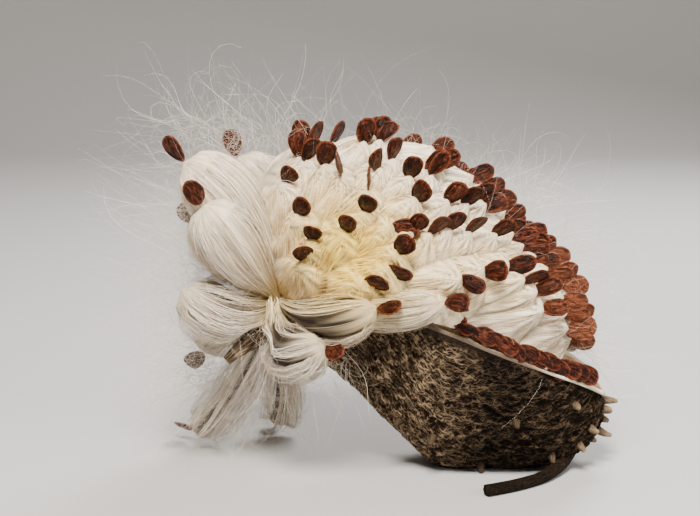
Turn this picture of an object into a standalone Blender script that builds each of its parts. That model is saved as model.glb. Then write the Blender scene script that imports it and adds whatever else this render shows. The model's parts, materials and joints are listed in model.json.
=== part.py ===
"""A ripe milkweed pod, picked and lying on its belly: a warty husk split along its upper seam, the
papery placenta inside it, the silky floss that bursts out, and the flat brown seeds on the floss.

+X points to the blunt end of the pod, -X to its beak, +Z up. The origin is on the flat spot that
the belly rests on, under the widest part. Sizes are in millimetres and MM turns them into metres.
"""

import math
import random

import bmesh
import bpy
import numpy as np
from mathutils import Matrix, Vector
from mathutils.bvhtree import BVHTree

MM = 0.001
GAP = 0.35  # air between two pieces that touch on the real pod

# Husk: (x, height of keel, height of rim, half width) from the blunt end to the beak.
HUSK_STATIONS = (
    (33.5, 15.5, 17.0, 0.4),
    (31.0, 8.0, 20.5, 9.5),
    (25.0, 2.2, 24.5, 15.5),
    (15.0, -0.6, 29.0, 19.8),
    (3.0, -0.6, 34.0, 21.8),
    (-9.0, 0.0, 39.0, 21.6),
    (-20.0, 10.0, 42.0, 19.0),
    (-32.0, 22.0, 43.5, 14.0),
    (-43.0, 29.5, 42.0, 8.5),
    (-51.0, 34.0, 37.0, 3.0),
)
WALL = 1.4
HUSK_RINGS = 21
OUTER_SPANS = 40  # round the outside of a ring, fine enough for the wrinkles
INNER_SPANS = 12
INNER_SHARE = 0.965  # the inner face stops this share of the way to each end
LIP_FLARE = 1.1
WRINKLE_HEIGHT = 0.75
WRINKLE_SPACING = 5.2
SPINE_COUNT = 28
SPINE_LENGTH = 3.6
SPINE_RADIUS = 0.95
BEAK_PATH = (
    (-45.5, -0.5, 34.6),
    (-50.0, -5.0, 36.4),
    (-54.5, -9.5, 35.0),
    (-58.5, -12.0, 32.4),
    (-61.5, -12.8, 29.8),
)
BEAK_RADII = (2.2, 3.0, 2.6, 1.7, 0.7)
BEAK_ROOT_ROOM = 2.6  # more room where the beak leaves the husk
BEAK_SIDES = 12
BEAK_RIDGE = 0.13
STALK_PATH = ((24.0, -3.0, 4.2), (21.5, -9.5, 2.6), (16.5, -16.5, 1.5), (9.5, -22.5, 1.45), (1.5, -27.0, 1.45))
STALK_RADII = (2.3, 1.7, 1.5, 1.45, 1.5)
STALK_SIDES = 8

# Placenta: a papery rod that the floss hairs end on, from the blunt end to the split tip.
PLACENTA_PATH = ((21.0, 0.0, 16.5), (4.0, 0.0, 21.5), (-16.0, 0.0, 28.5), (-36.0, -1.5, 36.0), (-50.5, -5.0, 42.5))
PLACENTA_RADII = (2.2, 3.2, 3.0, 2.2, 1.1)
PLACENTA_SIDES = 8
KNOT = (-49.0, -3.0, 43.0)  # where the loosened tufts meet, at the tip of the placenta

# Floss dome, as seen from the front: its middle, and its reach every 20 degrees from +X upwards.
DOME_MIDDLE = (-15.0, 0.0, 45.0)
DOME_REACH = (
    (37.0, 31.0, 28.0, 30.0, 34.0, 38.0)  # 0 to 100 degrees, over the blunt end
    + (44.0, 50.0, 44.0, 35.0, 30.0, 28.0)  # 120 to 220, round the split tip
    + (27.0, 32.0, 40.5, 46.0, 47.0, 41.5)  # 240 to 340, down inside the husk
)
DOME_THICKNESS = 27.0  # from the middle to the front, and to the back
DOME_THINNING = 11.0  # how much less it is at the beak end
THINNING_START, THINNING_RUN = -22.0, 45.0
DOME_WAIST = 0.75  # and the share of it that is left where the floss leaves the husk
WAIST_LOW, WAIST_HIGH = 34.0, 54.0
CORE_SHARE = 0.945
PEAK_TIP = 0.7
PEAK_RADIUS = 3.4
PEAK_DEPTH = 0.3
FLOSS_VOXEL = 1.3
FLOSS_TRIANGLES = 3000

# Loosened tufts round the split tip: (tip, sag of the middle, radius, whether it still has its seed).
TUFTS = (
    ((-71.5, -8.0, 78.0), (2.0, -2.0, 4.0), 8.2, True),
    ((-66.0, -19.0, 69.5), (-1.0, -3.0, 1.0), 8.0, True),
    ((-72.0, -12.0, 47.5), (0.0, -3.0, -4.0), 8.6, False),
    ((-37.0, -25.0, 37.2), (-3.5, -4.0, -6.5), 7.2, True),
    ((-25.0, -26.5, 46.5), (-1.0, -6.0, -3.0), 5.8, True),
    ((-9.5, -26.0, 47.5), (3.0, -5.0, -1.0), 5.2, True),
    ((-72.0, 15.0, 4.0), (-2.0, 3.0, -8.0), 6.6, True),
    ((-51.0, 25.0, 4.0), (1.0, 5.0, -8.5), 6.2, True),
    ((-60.0, 13.0, 76.5), (3.0, 5.0, 2.0), 8.6, True),
    ((-71.0, 14.0, 59.5), (0.0, 4.0, 2.0), 8.4, True),
    ((-69.0, 11.0, 26.0), (-2.0, 3.0, 1.0), 7.0, True),
    ((-37.0, 26.0, 37.0), (-5.0, 5.0, -5.0), 8.0, True),
    ((-19.0, 26.5, 46.5), (0.0, 6.0, -3.0), 6.6, True),
)
TUFT_TIP = 1.1
TUFT_SIDES = 8
TUFT_RINGS = 8

# Locks of bare floss that fly out: (tip, sag of the middle). Their roots are sunk in the dome.
LOCKS = (
    ((-88.0, -2.0, 60.0), (2.0, 0.0, 7.0)),
    ((-87.0, 8.0, 38.0), (3.0, 0.0, 5.0)),
    ((-84.0, 20.0, 12.0), (-2.0, 0.0, 7.0)),
    ((-80.0, 10.0, 92.0), (6.0, 0.0, 3.0)),
    ((-58.0, 20.0, 96.0), (-4.0, 0.0, 4.0)),
    ((-28.0, 24.0, 90.0), (0.0, 4.0, 5.0)),
    ((12.0, 26.0, 74.0), (2.0, 5.0, 3.0)),
    ((37.0, 20.0, 46.0), (3.0, 3.0, 2.0)),
    ((40.0, 10.0, 30.0), (0.0, 2.0, 5.0)),
    ((-76.0, 26.0, 68.0), (2.0, 3.0, 5.0)),
    ((-63.0, 2.0, 3.5), (-6.0, 0.0, 0.0)),
)
LOCK_RADIUS = 2.4
KNOT_LOCKS = -45.0  # locks whose tips are further left than this come from the knot
LOOSE_LOCKS = 30  # smaller locks that stand out all round the head
LOOSE_FROM, LOOSE_TO = -24.0, 226.0  # degrees about the dome's middle
LOOSE_REACH = 12.0  # past the outline of the dome
LOOSE_REACH_MORE = 8.0  # longer than that on the beak's side
LOOSE_DEPTH = 15.0  # how far to the front and to the back they start
LOOSE_RADIUS = 1.8
LOOSE_LOWEST, LOOSE_HIGHEST = 4.0, 103.0

# Seeds.
SEED_LENGTH = 7.3
SEED_WIDTH = 4.9
SEED_RIM = 0.55  # thickness of the papery margin
SEED_BODY = 1.15  # thickness along the middle
SEED_SHAPE = ((0.0, 0.15), (0.5, 0.5), (1.0, 0.27))  # (share of length, half width share)
SEED_MIDDLE = 0.55  # the thickest place, as a share of the length
SEED_STAND = 0.4  # from the peak of the floss to the seed's narrow end
ROW_SHARES = (1.0, 0.965, 0.89, 0.78, 0.65, 0.5)  # nested rows, as shares of the way from the knot
ROW_START, ROW_END = -30.0, 132.0  # degrees about the dome's middle, from the rim over the top
ROW_SHORTENING = 26.0  # degrees less for each row inwards at the far end, times the share lost
CLOSE_END, WIDE_START = 30.0, 85.0  # where the bunches start to open, and where seeds stand alone
CLOSE_SPACING = 3.8  # between the seeds of a bunch, which overlap
LARGEST_BUNCH = 5
ZIGZAG = 13.0  # degrees that neighbours are turned against each other
NARROW_GAP, WIDE_GAP = 3.0, 10.5  # between bunches
INNER_GAP = 9.0  # more between those of the inner rows, times the share lost
FRONT_ROW_LEAST = 0.95  # nearer the knot than this, the front has the single seeds below instead
SINGLES = (  # (x, z of the narrow end, lean from +X upwards, turn to the front, twist from face on)
    (-42.5, 78.5, 63, 17, 40),
    (-37.5, 77.5, 83, 28, 10),
    (-33.0, 75.5, 105, 28, 75),
    (-47.5, 73.5, 56, 45, 15),
    (-44.0, 66.0, 68, 42, 0),
    (-40.5, 60.5, 81, 50, 0),
    (-42.5, 55.5, 86, 50, 10),
    (-33.0, 63.5, 67, 48, 0),
    (-28.0, 68.0, 72, 48, 0),
    (-27.0, 72.5, 88, 25, 88),
    (-24.5, 77.0, 101, 38, 35),
    (-28.5, 82.0, 74, 5, 15),
    (-21.5, 78.5, 79, 20, 45),
    (-17.5, 75.0, 72, 30, 10),
    (-16.5, 70.5, 56, 42, 0),
    (-12.5, 75.5, 62, 14, 60),
    (-22.5, 65.0, -3, 15, 25),
    (-17.0, 64.0, 57, 40, 20),
    (-21.0, 59.0, 48, 38, 10),
    (-23.0, 56.0, -18, 20, 55),
    (-28.5, 52.5, -3, 28, 50),
    (-10.0, 47.5, -16, 8, 85),
    (-9.0, 69.5, 50, 17, 30),
    (-4.5, 68.5, 50, 25, 40),
    (-13.0, 63.0, 48, 25, 55),
    (-8.5, 63.5, 61, 35, 35),
    (-4.0, 62.5, 48, 25, 60),
    (2.5, 61.0, 42, 25, 45),
    (-0.5, 54.0, 13, 35, 0),
    (5.5, 54.0, 18, 12, 30),
    (-6.0, 53.0, -18, 25, 35),
    (9.5, 50.5, 27, 16, 60),
    (12.5, 47.5, 26, 10, 35),
    (10.5, 57.5, 22, 16, 40),
    (14.5, 43.5, 8, 15, 20),
)
RIM_SEEDS = 14
RIM_FROM, RIM_TO = 0.25, 0.565  # along the husk
RIM_LIFT = 3.8
RIM_INSET = 1.5
LEAST_ABOVE_RIM = 7.0  # for the seeds over the dome
MOST_SEED_NODES = 56  # any seeds past that are part of the floss
DRAW_SEED = 11


def clear_scene():
    for thing in list(bpy.data.objects):
        bpy.data.objects.remove(thing)


def paint_over(thing, paint):
    """Makes this the object's only material."""
    thing.data.materials.clear()
    thing.data.materials.append(paint)
    thing.data.polygons.foreach_set("material_index", [0] * len(thing.data.polygons))


def painted(name, colour, roughness):
    """A plain material of that colour."""
    paint = bpy.data.materials.new(name)
    paint.use_nodes = True
    shader = paint.node_tree.nodes["Principled BSDF"]
    shader.inputs["Base Color"].default_value = (*colour, 1.0)
    shader.inputs["Roughness"].default_value = roughness
    shader.inputs["Metallic"].default_value = 0.0
    return paint


def mesh_object(name, points, faces):
    """A new object in the scene. The points are in millimetres."""
    mesh = bpy.data.meshes.new(name)
    mesh.from_pydata([Vector(p) * MM for p in points], [], faces)
    thing = bpy.data.objects.new(name, mesh)
    bpy.context.scene.collection.objects.link(thing)
    return thing


def outwards(thing):
    """Turns every face of a closed mesh outwards."""
    made = bmesh.new()
    made.from_mesh(thing.data)
    bmesh.ops.recalc_face_normals(made, faces=made.faces)
    made.to_mesh(thing.data)
    made.free()


def with_modifiers(thing):
    """Gives the object the mesh that its modifiers make, and removes them."""
    graph = bpy.context.evaluated_depsgraph_get()
    thing.data = bpy.data.meshes.new_from_object(thing.evaluated_get(graph))
    thing.modifiers.clear()


def combined(thing, others, operation, solver="EXACT"):
    """Joins the others to thing, or cuts them from it, in one Boolean, and removes them."""
    tools = bpy.data.collections.new("tools")
    bpy.context.scene.collection.children.link(tools)
    for other in others:
        for home in list(other.users_collection):
            home.objects.unlink(other)
        tools.objects.link(other)
    boolean = thing.modifiers.new("combined", "BOOLEAN")
    boolean.operation = operation
    boolean.operand_type = "COLLECTION"
    boolean.collection = tools
    boolean.solver = solver
    with_modifiers(thing)
    for other in list(others):
        bpy.data.objects.remove(other)
    bpy.data.collections.remove(tools)


def largest_body(thing):
    """Drops loose scraps that a cut leaves."""
    made = bmesh.new()
    made.from_mesh(thing.data)
    unseen = set(made.verts)
    bodies = []
    while unseen:
        front = [unseen.pop()]
        body = list(front)
        while front:
            corner = front.pop()
            for edge in corner.link_edges:
                far = edge.other_vert(corner)
                if far in unseen:
                    unseen.remove(far)
                    front.append(far)
                    body.append(far)
        bodies.append(body)
    bodies.sort(key=len)
    for body in bodies[:-1]:
        bmesh.ops.delete(made, geom=body, context="VERTS")
    made.to_mesh(thing.data)
    made.free()


def smooth_through(stations, share):
    """The point at this share of the way along a smooth curve through the stations."""
    rows = np.asarray(stations, float)
    place = min(max(share, 0.0), 1.0) * (len(rows) - 1)
    k = min(int(place), len(rows) - 2)
    t = place - k
    before, a, b, after = rows[max(k - 1, 0)], rows[k], rows[k + 1], rows[min(k + 2, len(rows) - 1)]
    leaving, arriving = (b - before) / 2, (after - a) / 2
    return a + t * leaving + t * t * (3 * (b - a) - 2 * leaving - arriving) + t**3 * (2 * (a - b) + leaving + arriving)


def tube(path, radii, sides, ridge=0.0):
    """Points and faces of a closed tapered tube. A ridge makes every other side stand out."""
    path = [Vector(p) for p in path]
    points, faces = [], []
    side = None
    for k, (place, radius) in enumerate(zip(path, radii)):
        along = (path[min(k + 1, len(path) - 1)] - path[max(k - 1, 0)]).normalized()
        start = side if side is not None else along.orthogonal()
        side = (start - along * start.dot(along)).normalized()
        up = along.cross(side)
        for j in range(sides):
            turn = 2 * math.pi * j / sides
            reach = radius * (1 + (ridge if j % 2 else -ridge))
            points.append(place + (side * math.cos(turn) + up * math.sin(turn)) * reach)
    for k in range(len(path) - 1):
        for j in range(sides):
            a, b = k * sides + j, k * sides + (j + 1) % sides
            faces.append((a, b, b + sides, a + sides))
    faces.append(tuple(reversed(range(sides))))
    faces.append(tuple(range((len(path) - 1) * sides, len(path) * sides)))
    return points, faces


def tube_object(name, path, radii, sides, ridge=0.0):
    thing = mesh_object(name, *tube(path, radii, sides, ridge))
    outwards(thing)
    return thing


def husk_point(share, across, wall=0.0):
    """A point of the husk's wall: share runs from the blunt end to the beak, across from -1 at the
    front rim through 0 at the keel to 1 at the back rim. A wall moves the point inwards."""
    x, keel, rim, half = smooth_through(HUSK_STATIONS, share)
    half = max(half - wall, half * 0.3)
    keel = keel + min(wall, 0.4 * (rim - keel))
    turn = across * math.pi / 2
    lip = LIP_FLARE * max(0.0, (abs(across) - 0.86) / 0.14) ** 2 * min(1.0, half / 8)
    y = half * math.sin(turn) + math.copysign(lip, across)
    return Vector((x, y, keel + (rim - keel) * (1 - math.cos(turn))))


def rim_height(x):
    """Height of the rim at that place along the pod."""
    xs, _, rims, _ = zip(*reversed(HUSK_STATIONS))
    return float(np.interp(x, xs, rims))


def wrinkle(x, round_keel):
    """Height of the long shaggy wrinkles at a place on the outside, from 0 to 1."""
    wander = 1.9 * math.sin(x / 7.3 + round_keel / 9.0) + 1.1 * math.sin(x / 3.1 - round_keel / 5.3 + 1.0)
    fold = 0.5 + 0.5 * math.sin(2 * math.pi * round_keel / WRINKLE_SPACING + wander)
    broken = 0.55 + 0.45 * math.sin(x / 2.6 + 2.3 * math.sin(round_keel / 3.9))
    return fold * broken


def husk_outside(share, across):
    """A point on the outside, with its wrinkles, and the way out there."""
    step = 1e-3
    here = husk_point(share, across)
    along = husk_point(min(share + step, 1.0), across) - husk_point(max(share - step, 0.0), across)
    round_ring = husk_point(share, min(across + step, 1.0)) - husk_point(share, max(across - step, -1.0))
    out = along.cross(round_ring)
    out = out.normalized() if out.length > 1e-9 else Vector((1.0, 0.0, 0.0))
    middle = husk_point(share, 0.0) + Vector((0.0, 0.0, 12.0))
    if out.dot(here - middle) < 0:
        out = -out
    half = smooth_through(HUSK_STATIONS, share)[3]
    fade = min(1.0, (1 - abs(across)) / 0.12) * min(1.0, half / 9)
    rise = WRINKLE_HEIGHT * wrinkle(here.x, across * 42.0) * fade
    return here + out * rise, out


def husk_shell():
    """The open boat of the husk: a wrinkled outer face, a plain inner face and the rim between."""
    points, faces = [], []
    outer, inner = [], []
    for k in range(1, HUSK_RINGS + 1):
        share = k / (HUSK_RINGS + 1)
        outer.append([])
        for j in range(OUTER_SPANS + 1):
            outer[-1].append(len(points))
            points.append(husk_outside(share, 2 * j / OUTER_SPANS - 1)[0])
        inner.append([])
        for j in range(INNER_SPANS + 1):
            inner[-1].append(len(points))
            inside = 0.5 + (share - 0.5) * INNER_SHARE
            points.append(husk_point(inside, 2 * j / INNER_SPANS - 1, WALL))
    ends = []
    for share, inside in ((0.0, 0.5 - 0.5 * INNER_SHARE), (1.0, 0.5 + 0.5 * INNER_SHARE)):
        ends.append((len(points), len(points) + 1))
        points.append(husk_point(share, 0.0))
        points.append(husk_point(inside, 0.6, WALL) * 0.5 + husk_point(inside, -0.6, WALL) * 0.5)
    for rings, which in ((outer, 0), (inner, 1)):
        for a, b in zip(rings, rings[1:]):
            faces += [(a[j], a[j + 1], b[j + 1], b[j]) for j in range(len(a) - 1)]
        for ring, end in ((rings[0], ends[0]), (rings[-1], ends[1])):
            faces += [(ring[j], ring[j + 1], end[which]) for j in range(len(ring) - 1)]
    for j in (0, -1):
        for k in range(HUSK_RINGS - 1):
            faces.append((outer[k][j], outer[k + 1][j], inner[k + 1][j], inner[k][j]))
        faces.append((ends[0][0], outer[0][j], inner[0][j], ends[0][1]))
        faces.append((outer[-1][j], ends[1][0], ends[1][1], inner[-1][j]))
    shell = mesh_object("husk", points, faces)
    outwards(shell)
    return shell


def husk_spines(grown=0.0):
    """Soft finger-like spines, closest together at the blunt end and bent towards the beak."""
    draw = random.Random(DRAW_SEED)
    spines = []
    for k in range(SPINE_COUNT):
        share = 0.035 + 0.75 * (k / SPINE_COUNT) ** 1.7
        across = (0.93 - 0.1 * draw.random()) * (2 * ((k * 0.618) % 1.0) - 1)
        if abs(across) < 0.22 and share > 0.15:
            across += math.copysign(0.3, across)
        foot, out = husk_outside(share, across)
        length = SPINE_LENGTH * (0.75 + 0.5 * draw.random()) * (1.0 - 0.35 * share)
        lean = Vector((-0.35 + 0.5 * draw.random(), 0.5 * (draw.random() - 0.5), 0.5 * (draw.random() - 0.5)))
        path = [foot - out * 1.0, foot + out * 0.45 * length, foot + out * 0.85 * length + lean * 0.5 * length]
        path[2] += (path[2] - path[1]).normalized() * grown
        radii = (SPINE_RADIUS * 1.25 + grown, SPINE_RADIUS + grown, SPINE_RADIUS * 0.55 + grown)
        spines.append(tube_object("spine", path, radii, 4))
    return spines


def floor_block():
    """Everything below the surface that the pod lies on, as a cutter."""
    low, high, depth = -130.0, 130.0, -20.0
    corners = [(x, y, z) for x in (low, high) for y in (low, high) for z in (depth, 0.0)]
    faces = ((0, 1, 3, 2), (4, 6, 7, 5), (0, 4, 5, 1), (2, 3, 7, 6), (0, 2, 6, 4), (1, 5, 7, 3))
    block = mesh_object("below", corners, faces)
    outwards(block)
    return block


def make_husk():
    """Shell, beak, stalk and spines grown as one piece, flat where the belly rests."""
    husk = husk_shell()
    beak = tube_object("beak", BEAK_PATH, BEAK_RADII, BEAK_SIDES, BEAK_RIDGE)
    stalk = tube_object("stalk", STALK_PATH, STALK_RADII, STALK_SIDES)
    combined(husk, [beak, stalk, *husk_spines()], "UNION")
    combined(husk, [floor_block()], "DIFFERENCE")
    largest_body(husk)
    paint_over(husk, painted("husk", (0.23, 0.17, 0.12), 0.9))
    return husk


def husk_room():
    """The husk's wall grown by the gap on every side, which the floss is cut back from."""
    points, faces = [], []
    rings = []
    spans = 16
    count = 18
    outside = 1.4 * (WRINKLE_HEIGHT + GAP)  # more than the gap, because the keel runs up at a slant
    for k in range(count + 1):
        share = k / count
        ring = []
        past_end = {0: 1.0, count: -1.0}.get(k, 0.0)
        narrow_end = 5.0 * max(0.0, share - 0.8) / 0.2
        for grown in (-outside, WALL + GAP + narrow_end):
            for j in range(spans + 1):
                across = 2 * j / spans - 1
                ring.append(len(points))
                place = husk_point(share, across, grown)
                rise = (GAP + 0.6 + 0.4 * narrow_end) * max(0.0, (abs(across) - 0.8) / 0.2)
                points.append(place + Vector((past_end, 0.0, rise)))
        rings.append(ring)
    turn = list(range(spans + 1)) + list(range(2 * spans + 1, spans, -1))
    for a, b in zip(rings, rings[1:]):
        for j in range(len(turn)):
            first, second = turn[j], turn[(j + 1) % len(turn)]
            faces.append((a[first], a[second], b[second], b[first]))
    faces.append(tuple(rings[0][j] for j in turn))
    faces.append(tuple(rings[-1][j] for j in reversed(turn)))
    room = mesh_object("husk_room", points, faces)
    outwards(room)
    return room


def husk_rooms():
    """Everything of the husk that the floss touches, grown by the gap."""
    path = [Vector(place) for place in BEAK_PATH]
    path[0] += (path[0] - path[1]).normalized() * BEAK_ROOT_ROOM
    path[-1] += (path[-1] - path[-2]).normalized() * GAP
    radii = [radius + 1.6 * GAP for radius in BEAK_RADII]
    radii[0] += BEAK_ROOT_ROOM
    radii[1] += BEAK_ROOT_ROOM / 2
    beak = tube_object("beak_room", path, radii, BEAK_SIDES)
    return [husk_room(), beak, *husk_spines(1.5 * GAP)]


def make_placenta():
    placenta = tube_object("placenta", PLACENTA_PATH, PLACENTA_RADII, PLACENTA_SIDES, 0.08)
    paint_over(placenta, painted("placenta", (0.66, 0.52, 0.33), 0.8))
    return placenta


def placenta_room():
    """The placenta grown by the gap, which the floss is cut back from."""
    path = [Vector(place) for place in PLACENTA_PATH]
    path[0] += (path[0] - path[1]).normalized() * GAP
    path[-1] += (path[-1] - path[-2]).normalized() * GAP
    grown = [radius + 1.6 * GAP for radius in PLACENTA_RADII]
    return tube_object("placenta_room", path, grown, PLACENTA_SIDES, 0.08)


def dome_reach(angle):
    """How far the dome reaches from its middle at this angle in the front view, in radians."""
    place = (math.degrees(angle) % 360.0) / 20.0
    k = int(place)
    t = place - k
    before, a, b, after = (DOME_REACH[(k + i) % len(DOME_REACH)] for i in (-1, 0, 1, 2))
    leaving, arriving = (b - before) / 2, (after - a) / 2
    return a + t * leaving + t * t * (3 * (b - a) - 2 * leaving - arriving) + t**3 * (2 * (a - b) + leaving + arriving)


def dome_point(share, angle, side, scale=1.0):
    """A point of the dome: share of the way from its middle to its outline as seen from the front,
    on the front where side is -1 and on the back where it is 1."""
    reach = share * dome_reach(angle) * scale
    x = DOME_MIDDLE[0] + reach * math.cos(angle)
    z = DOME_MIDDLE[2] + reach * math.sin(angle)
    thin = min(1.0, max(0.0, (THINNING_START - x) / THINNING_RUN))
    thickness = DOME_THICKNESS - DOME_THINNING * thin * thin * (3 - 2 * thin)
    rise = min(1.0, max(0.0, (z - WAIST_LOW) / (WAIST_HIGH - WAIST_LOW)))
    thickness *= DOME_WAIST + (1 - DOME_WAIST) * rise * rise * (3 - 2 * rise)
    y = side * scale * thickness * math.sqrt(max(0.0, 1 - share**2.3))
    return Vector((x, y, z))


def dome_way_out(share, angle, side):
    """The dome's outward normal there."""
    step = 0.02
    inner = min(share, 1 - step)
    along = dome_point(inner + step, angle, side) - dome_point(max(inner - step, 0.0), angle, side)
    around = dome_point(inner, angle + step, side) - dome_point(inner, angle - step, side)
    out = along.cross(around).normalized()
    away = dome_point(share, angle, side) - Vector(DOME_MIDDLE)
    return out if out.dot(away) > 0 else -out


def dome_core():
    """The smooth body of the dome that every peak of floss stands on."""
    spokes, rings = 48, 9
    loops = [(-1, k) for k in range(1, rings + 1)] + [(1, k) for k in range(rings + 1, 0, -1)]
    points, faces = [], []
    for side, k in loops:
        share = math.sin(math.pi / 2 * k / (rings + 1))
        points += [dome_point(share, 2 * math.pi * j / spokes, side, CORE_SHARE) for j in range(spokes)]
    starts = range(0, len(points), spokes)
    for a, b in zip(starts, starts[1:]):
        faces += [(a + j, a + (j + 1) % spokes, b + (j + 1) % spokes, b + j) for j in range(spokes)]
    faces.append(tuple(starts[0] + j for j in range(spokes)))
    faces.append(tuple(starts[-1] + j for j in reversed(range(spokes))))
    core = mesh_object("floss", points, faces)
    outwards(core)
    return core


def bent_path(tip, root, sag, count):
    """Points from tip to root on a curve whose middle is moved by sag."""
    tip, root, sag = Vector(tip), Vector(root), Vector(sag)
    shares = [k / (count - 1) for k in range(count)]
    return [tip.lerp(root, s) + sag * (4 * s * (1 - s)) for s in shares]


def tuft_radius(share, radius):
    """A tuft is pinched at its seed, swells at once and draws in again to its root."""
    return max(radius * math.sin(math.pi * min(share, 0.985) ** 0.62) ** 0.75, TUFT_TIP)


def tuft(tip, root, sag, radius, sides=TUFT_SIDES, rings=TUFT_RINGS):
    path = bent_path(tip, root, sag, rings)
    radii = [tuft_radius(k / (rings - 1), radius) for k in range(rings)]
    radii[-1] = max(radii[-1], 0.25 * radius)
    return tube_object("tuft", path, radii, sides)


def loose_locks():
    """(tip, sag) of the smaller locks, spread round the outline of the head by a rule."""
    draw = random.Random(DRAW_SEED)
    found = []
    for k in range(LOOSE_LOCKS):
        angle = math.radians(LOOSE_FROM + (LOOSE_TO - LOOSE_FROM) * k / (LOOSE_LOCKS - 1))
        depth = math.sin(2.4 * k)
        heading = angle + draw.uniform(-0.3, 0.3)
        way = Vector((math.cos(heading), 0.4 * depth, math.sin(heading)))
        reach = (LOOSE_REACH + LOOSE_REACH_MORE * max(0.0, -math.cos(angle))) * draw.uniform(0.8, 1.15)
        tip = dome_point(1.0, angle, 1) + Vector((0.0, LOOSE_DEPTH * depth, 0.0)) + way * reach
        tip.z = min(max(tip.z, LOOSE_LOWEST), LOOSE_HIGHEST)
        found.append((tip, Vector([draw.uniform(-3.0, 3.0) for _ in range(3)])))
    return found


def lock(tip, sag, radius):
    """A tapering lock of bare floss."""
    count = 6
    root = Vector(tip).lerp(Vector(DOME_MIDDLE if tip[0] > KNOT_LOCKS else KNOT), 0.8)
    path = bent_path(tip, root, sag, count)
    radii = [radius * (0.2 + 0.8 * k / (count - 1)) for k in range(count)]
    return tube_object("lock", path, radii, 5)


def make_floss(dome, white_seeds, cutters):
    """The whole head of floss as one body: dome, a peak under each seed, loosened tufts and locks.
    It is cut back by a gap from the pieces that touch it."""
    floss = dome_core()
    pieces = [floss]
    middle = Vector(DOME_MIDDLE)
    for peak, _ in dome:
        path = [peak, peak.lerp(middle, 0.5 * PEAK_DEPTH), peak.lerp(middle, PEAK_DEPTH)]
        pieces.append(tube_object("peak", path, (PEAK_TIP, PEAK_RADIUS, PEAK_RADIUS), 6))
    pieces += [tuft(tip, KNOT, sag, radius) for tip, sag, radius, _ in TUFTS]
    with bpy.context.temp_override(active_object=floss, selected_editable_objects=pieces):
        bpy.ops.object.join()
    remesh = floss.modifiers.new("remesh", "REMESH")
    remesh.mode = "VOXEL"
    remesh.voxel_size = FLOSS_VOXEL * MM
    with_modifiers(floss)
    largest_body(floss)
    made = sum(len(face.vertices) - 2 for face in floss.data.polygons)
    fewer = floss.modifiers.new("fewer", "DECIMATE")
    fewer.ratio = FLOSS_TRIANGLES / made
    with_modifiers(floss)
    locks = [lock(tip, sag, LOCK_RADIUS) for tip, sag in LOCKS]
    locks += [lock(tip, sag, LOOSE_RADIUS) for tip, sag in loose_locks()]
    combined(floss, locks + white_seeds, "UNION", "MANIFOLD")
    combined(floss, cutters, "DIFFERENCE", "MANIFOLD")
    largest_body(floss)
    paint_over(floss, painted("floss", (0.86, 0.83, 0.75), 0.6))
    return floss


def seed_shape(grown=0.0):
    """Points and faces of one seed, narrow end at the origin, length along +X, flat in XY."""
    half_rim, half_body = SEED_RIM / 2 + grown, SEED_BODY / 2 + grown
    outline = [(s * SEED_LENGTH - (grown if s == 0 else 0), w * SEED_WIDTH + grown) for s, w in SEED_SHAPE]
    edge = [(x, -y) for x, y in outline] + [(x, y) for x, y in reversed(outline)]
    count = len(edge)
    points = [Vector((x, y, -half_rim)) for x, y in edge] + [Vector((x, y, half_rim)) for x, y in edge]
    faces = [(j, (j + 1) % count, count + (j + 1) % count, count + j) for j in range(count)]
    for base, height in ((0, -half_body), (count, half_body)):
        points.append(Vector((SEED_MIDDLE * SEED_LENGTH, 0.0, height)))
        faces += [(base + j, base + (j + 1) % count, len(points) - 1) for j in range(count)]
    return points, faces


def seed_frame(place, way, face, twist):
    """Where a seed stands: its narrow end near place, its length along way, turned round by twist."""
    way = way.normalized()
    face = (face - way * face.dot(way)).normalized()
    stand = Matrix((way, face.cross(way), face)).transposed().to_4x4()
    stand.translation = place + way * SEED_STAND
    return stand @ Matrix.Rotation(math.radians(twist), 4, "X")


def way_of_seed(place, out):
    """A seed points out of the floss and away from the knot."""
    flow = place - Vector(KNOT)
    flow = (flow - out * flow.dot(out)).normalized()
    return (out * 0.72 + flow * 0.62).normalized()


def row_point(share, angle, side):
    """A point of the row that is this share of the way from the knot to the outline of the dome,
    and the dome's outward normal there."""
    edge = dome_point(1.0, angle, side)
    x = KNOT[0] + share * (edge.x - KNOT[0]) - DOME_MIDDLE[0]
    z = KNOT[2] + share * (edge.z - KNOT[2]) - DOME_MIDDLE[2]
    turn = math.atan2(z, x)
    rest = math.hypot(x, z) / dome_reach(turn)
    return dome_point(min(rest, 0.995), turn, side), dome_way_out(min(rest, 0.97), turn, side)


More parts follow.
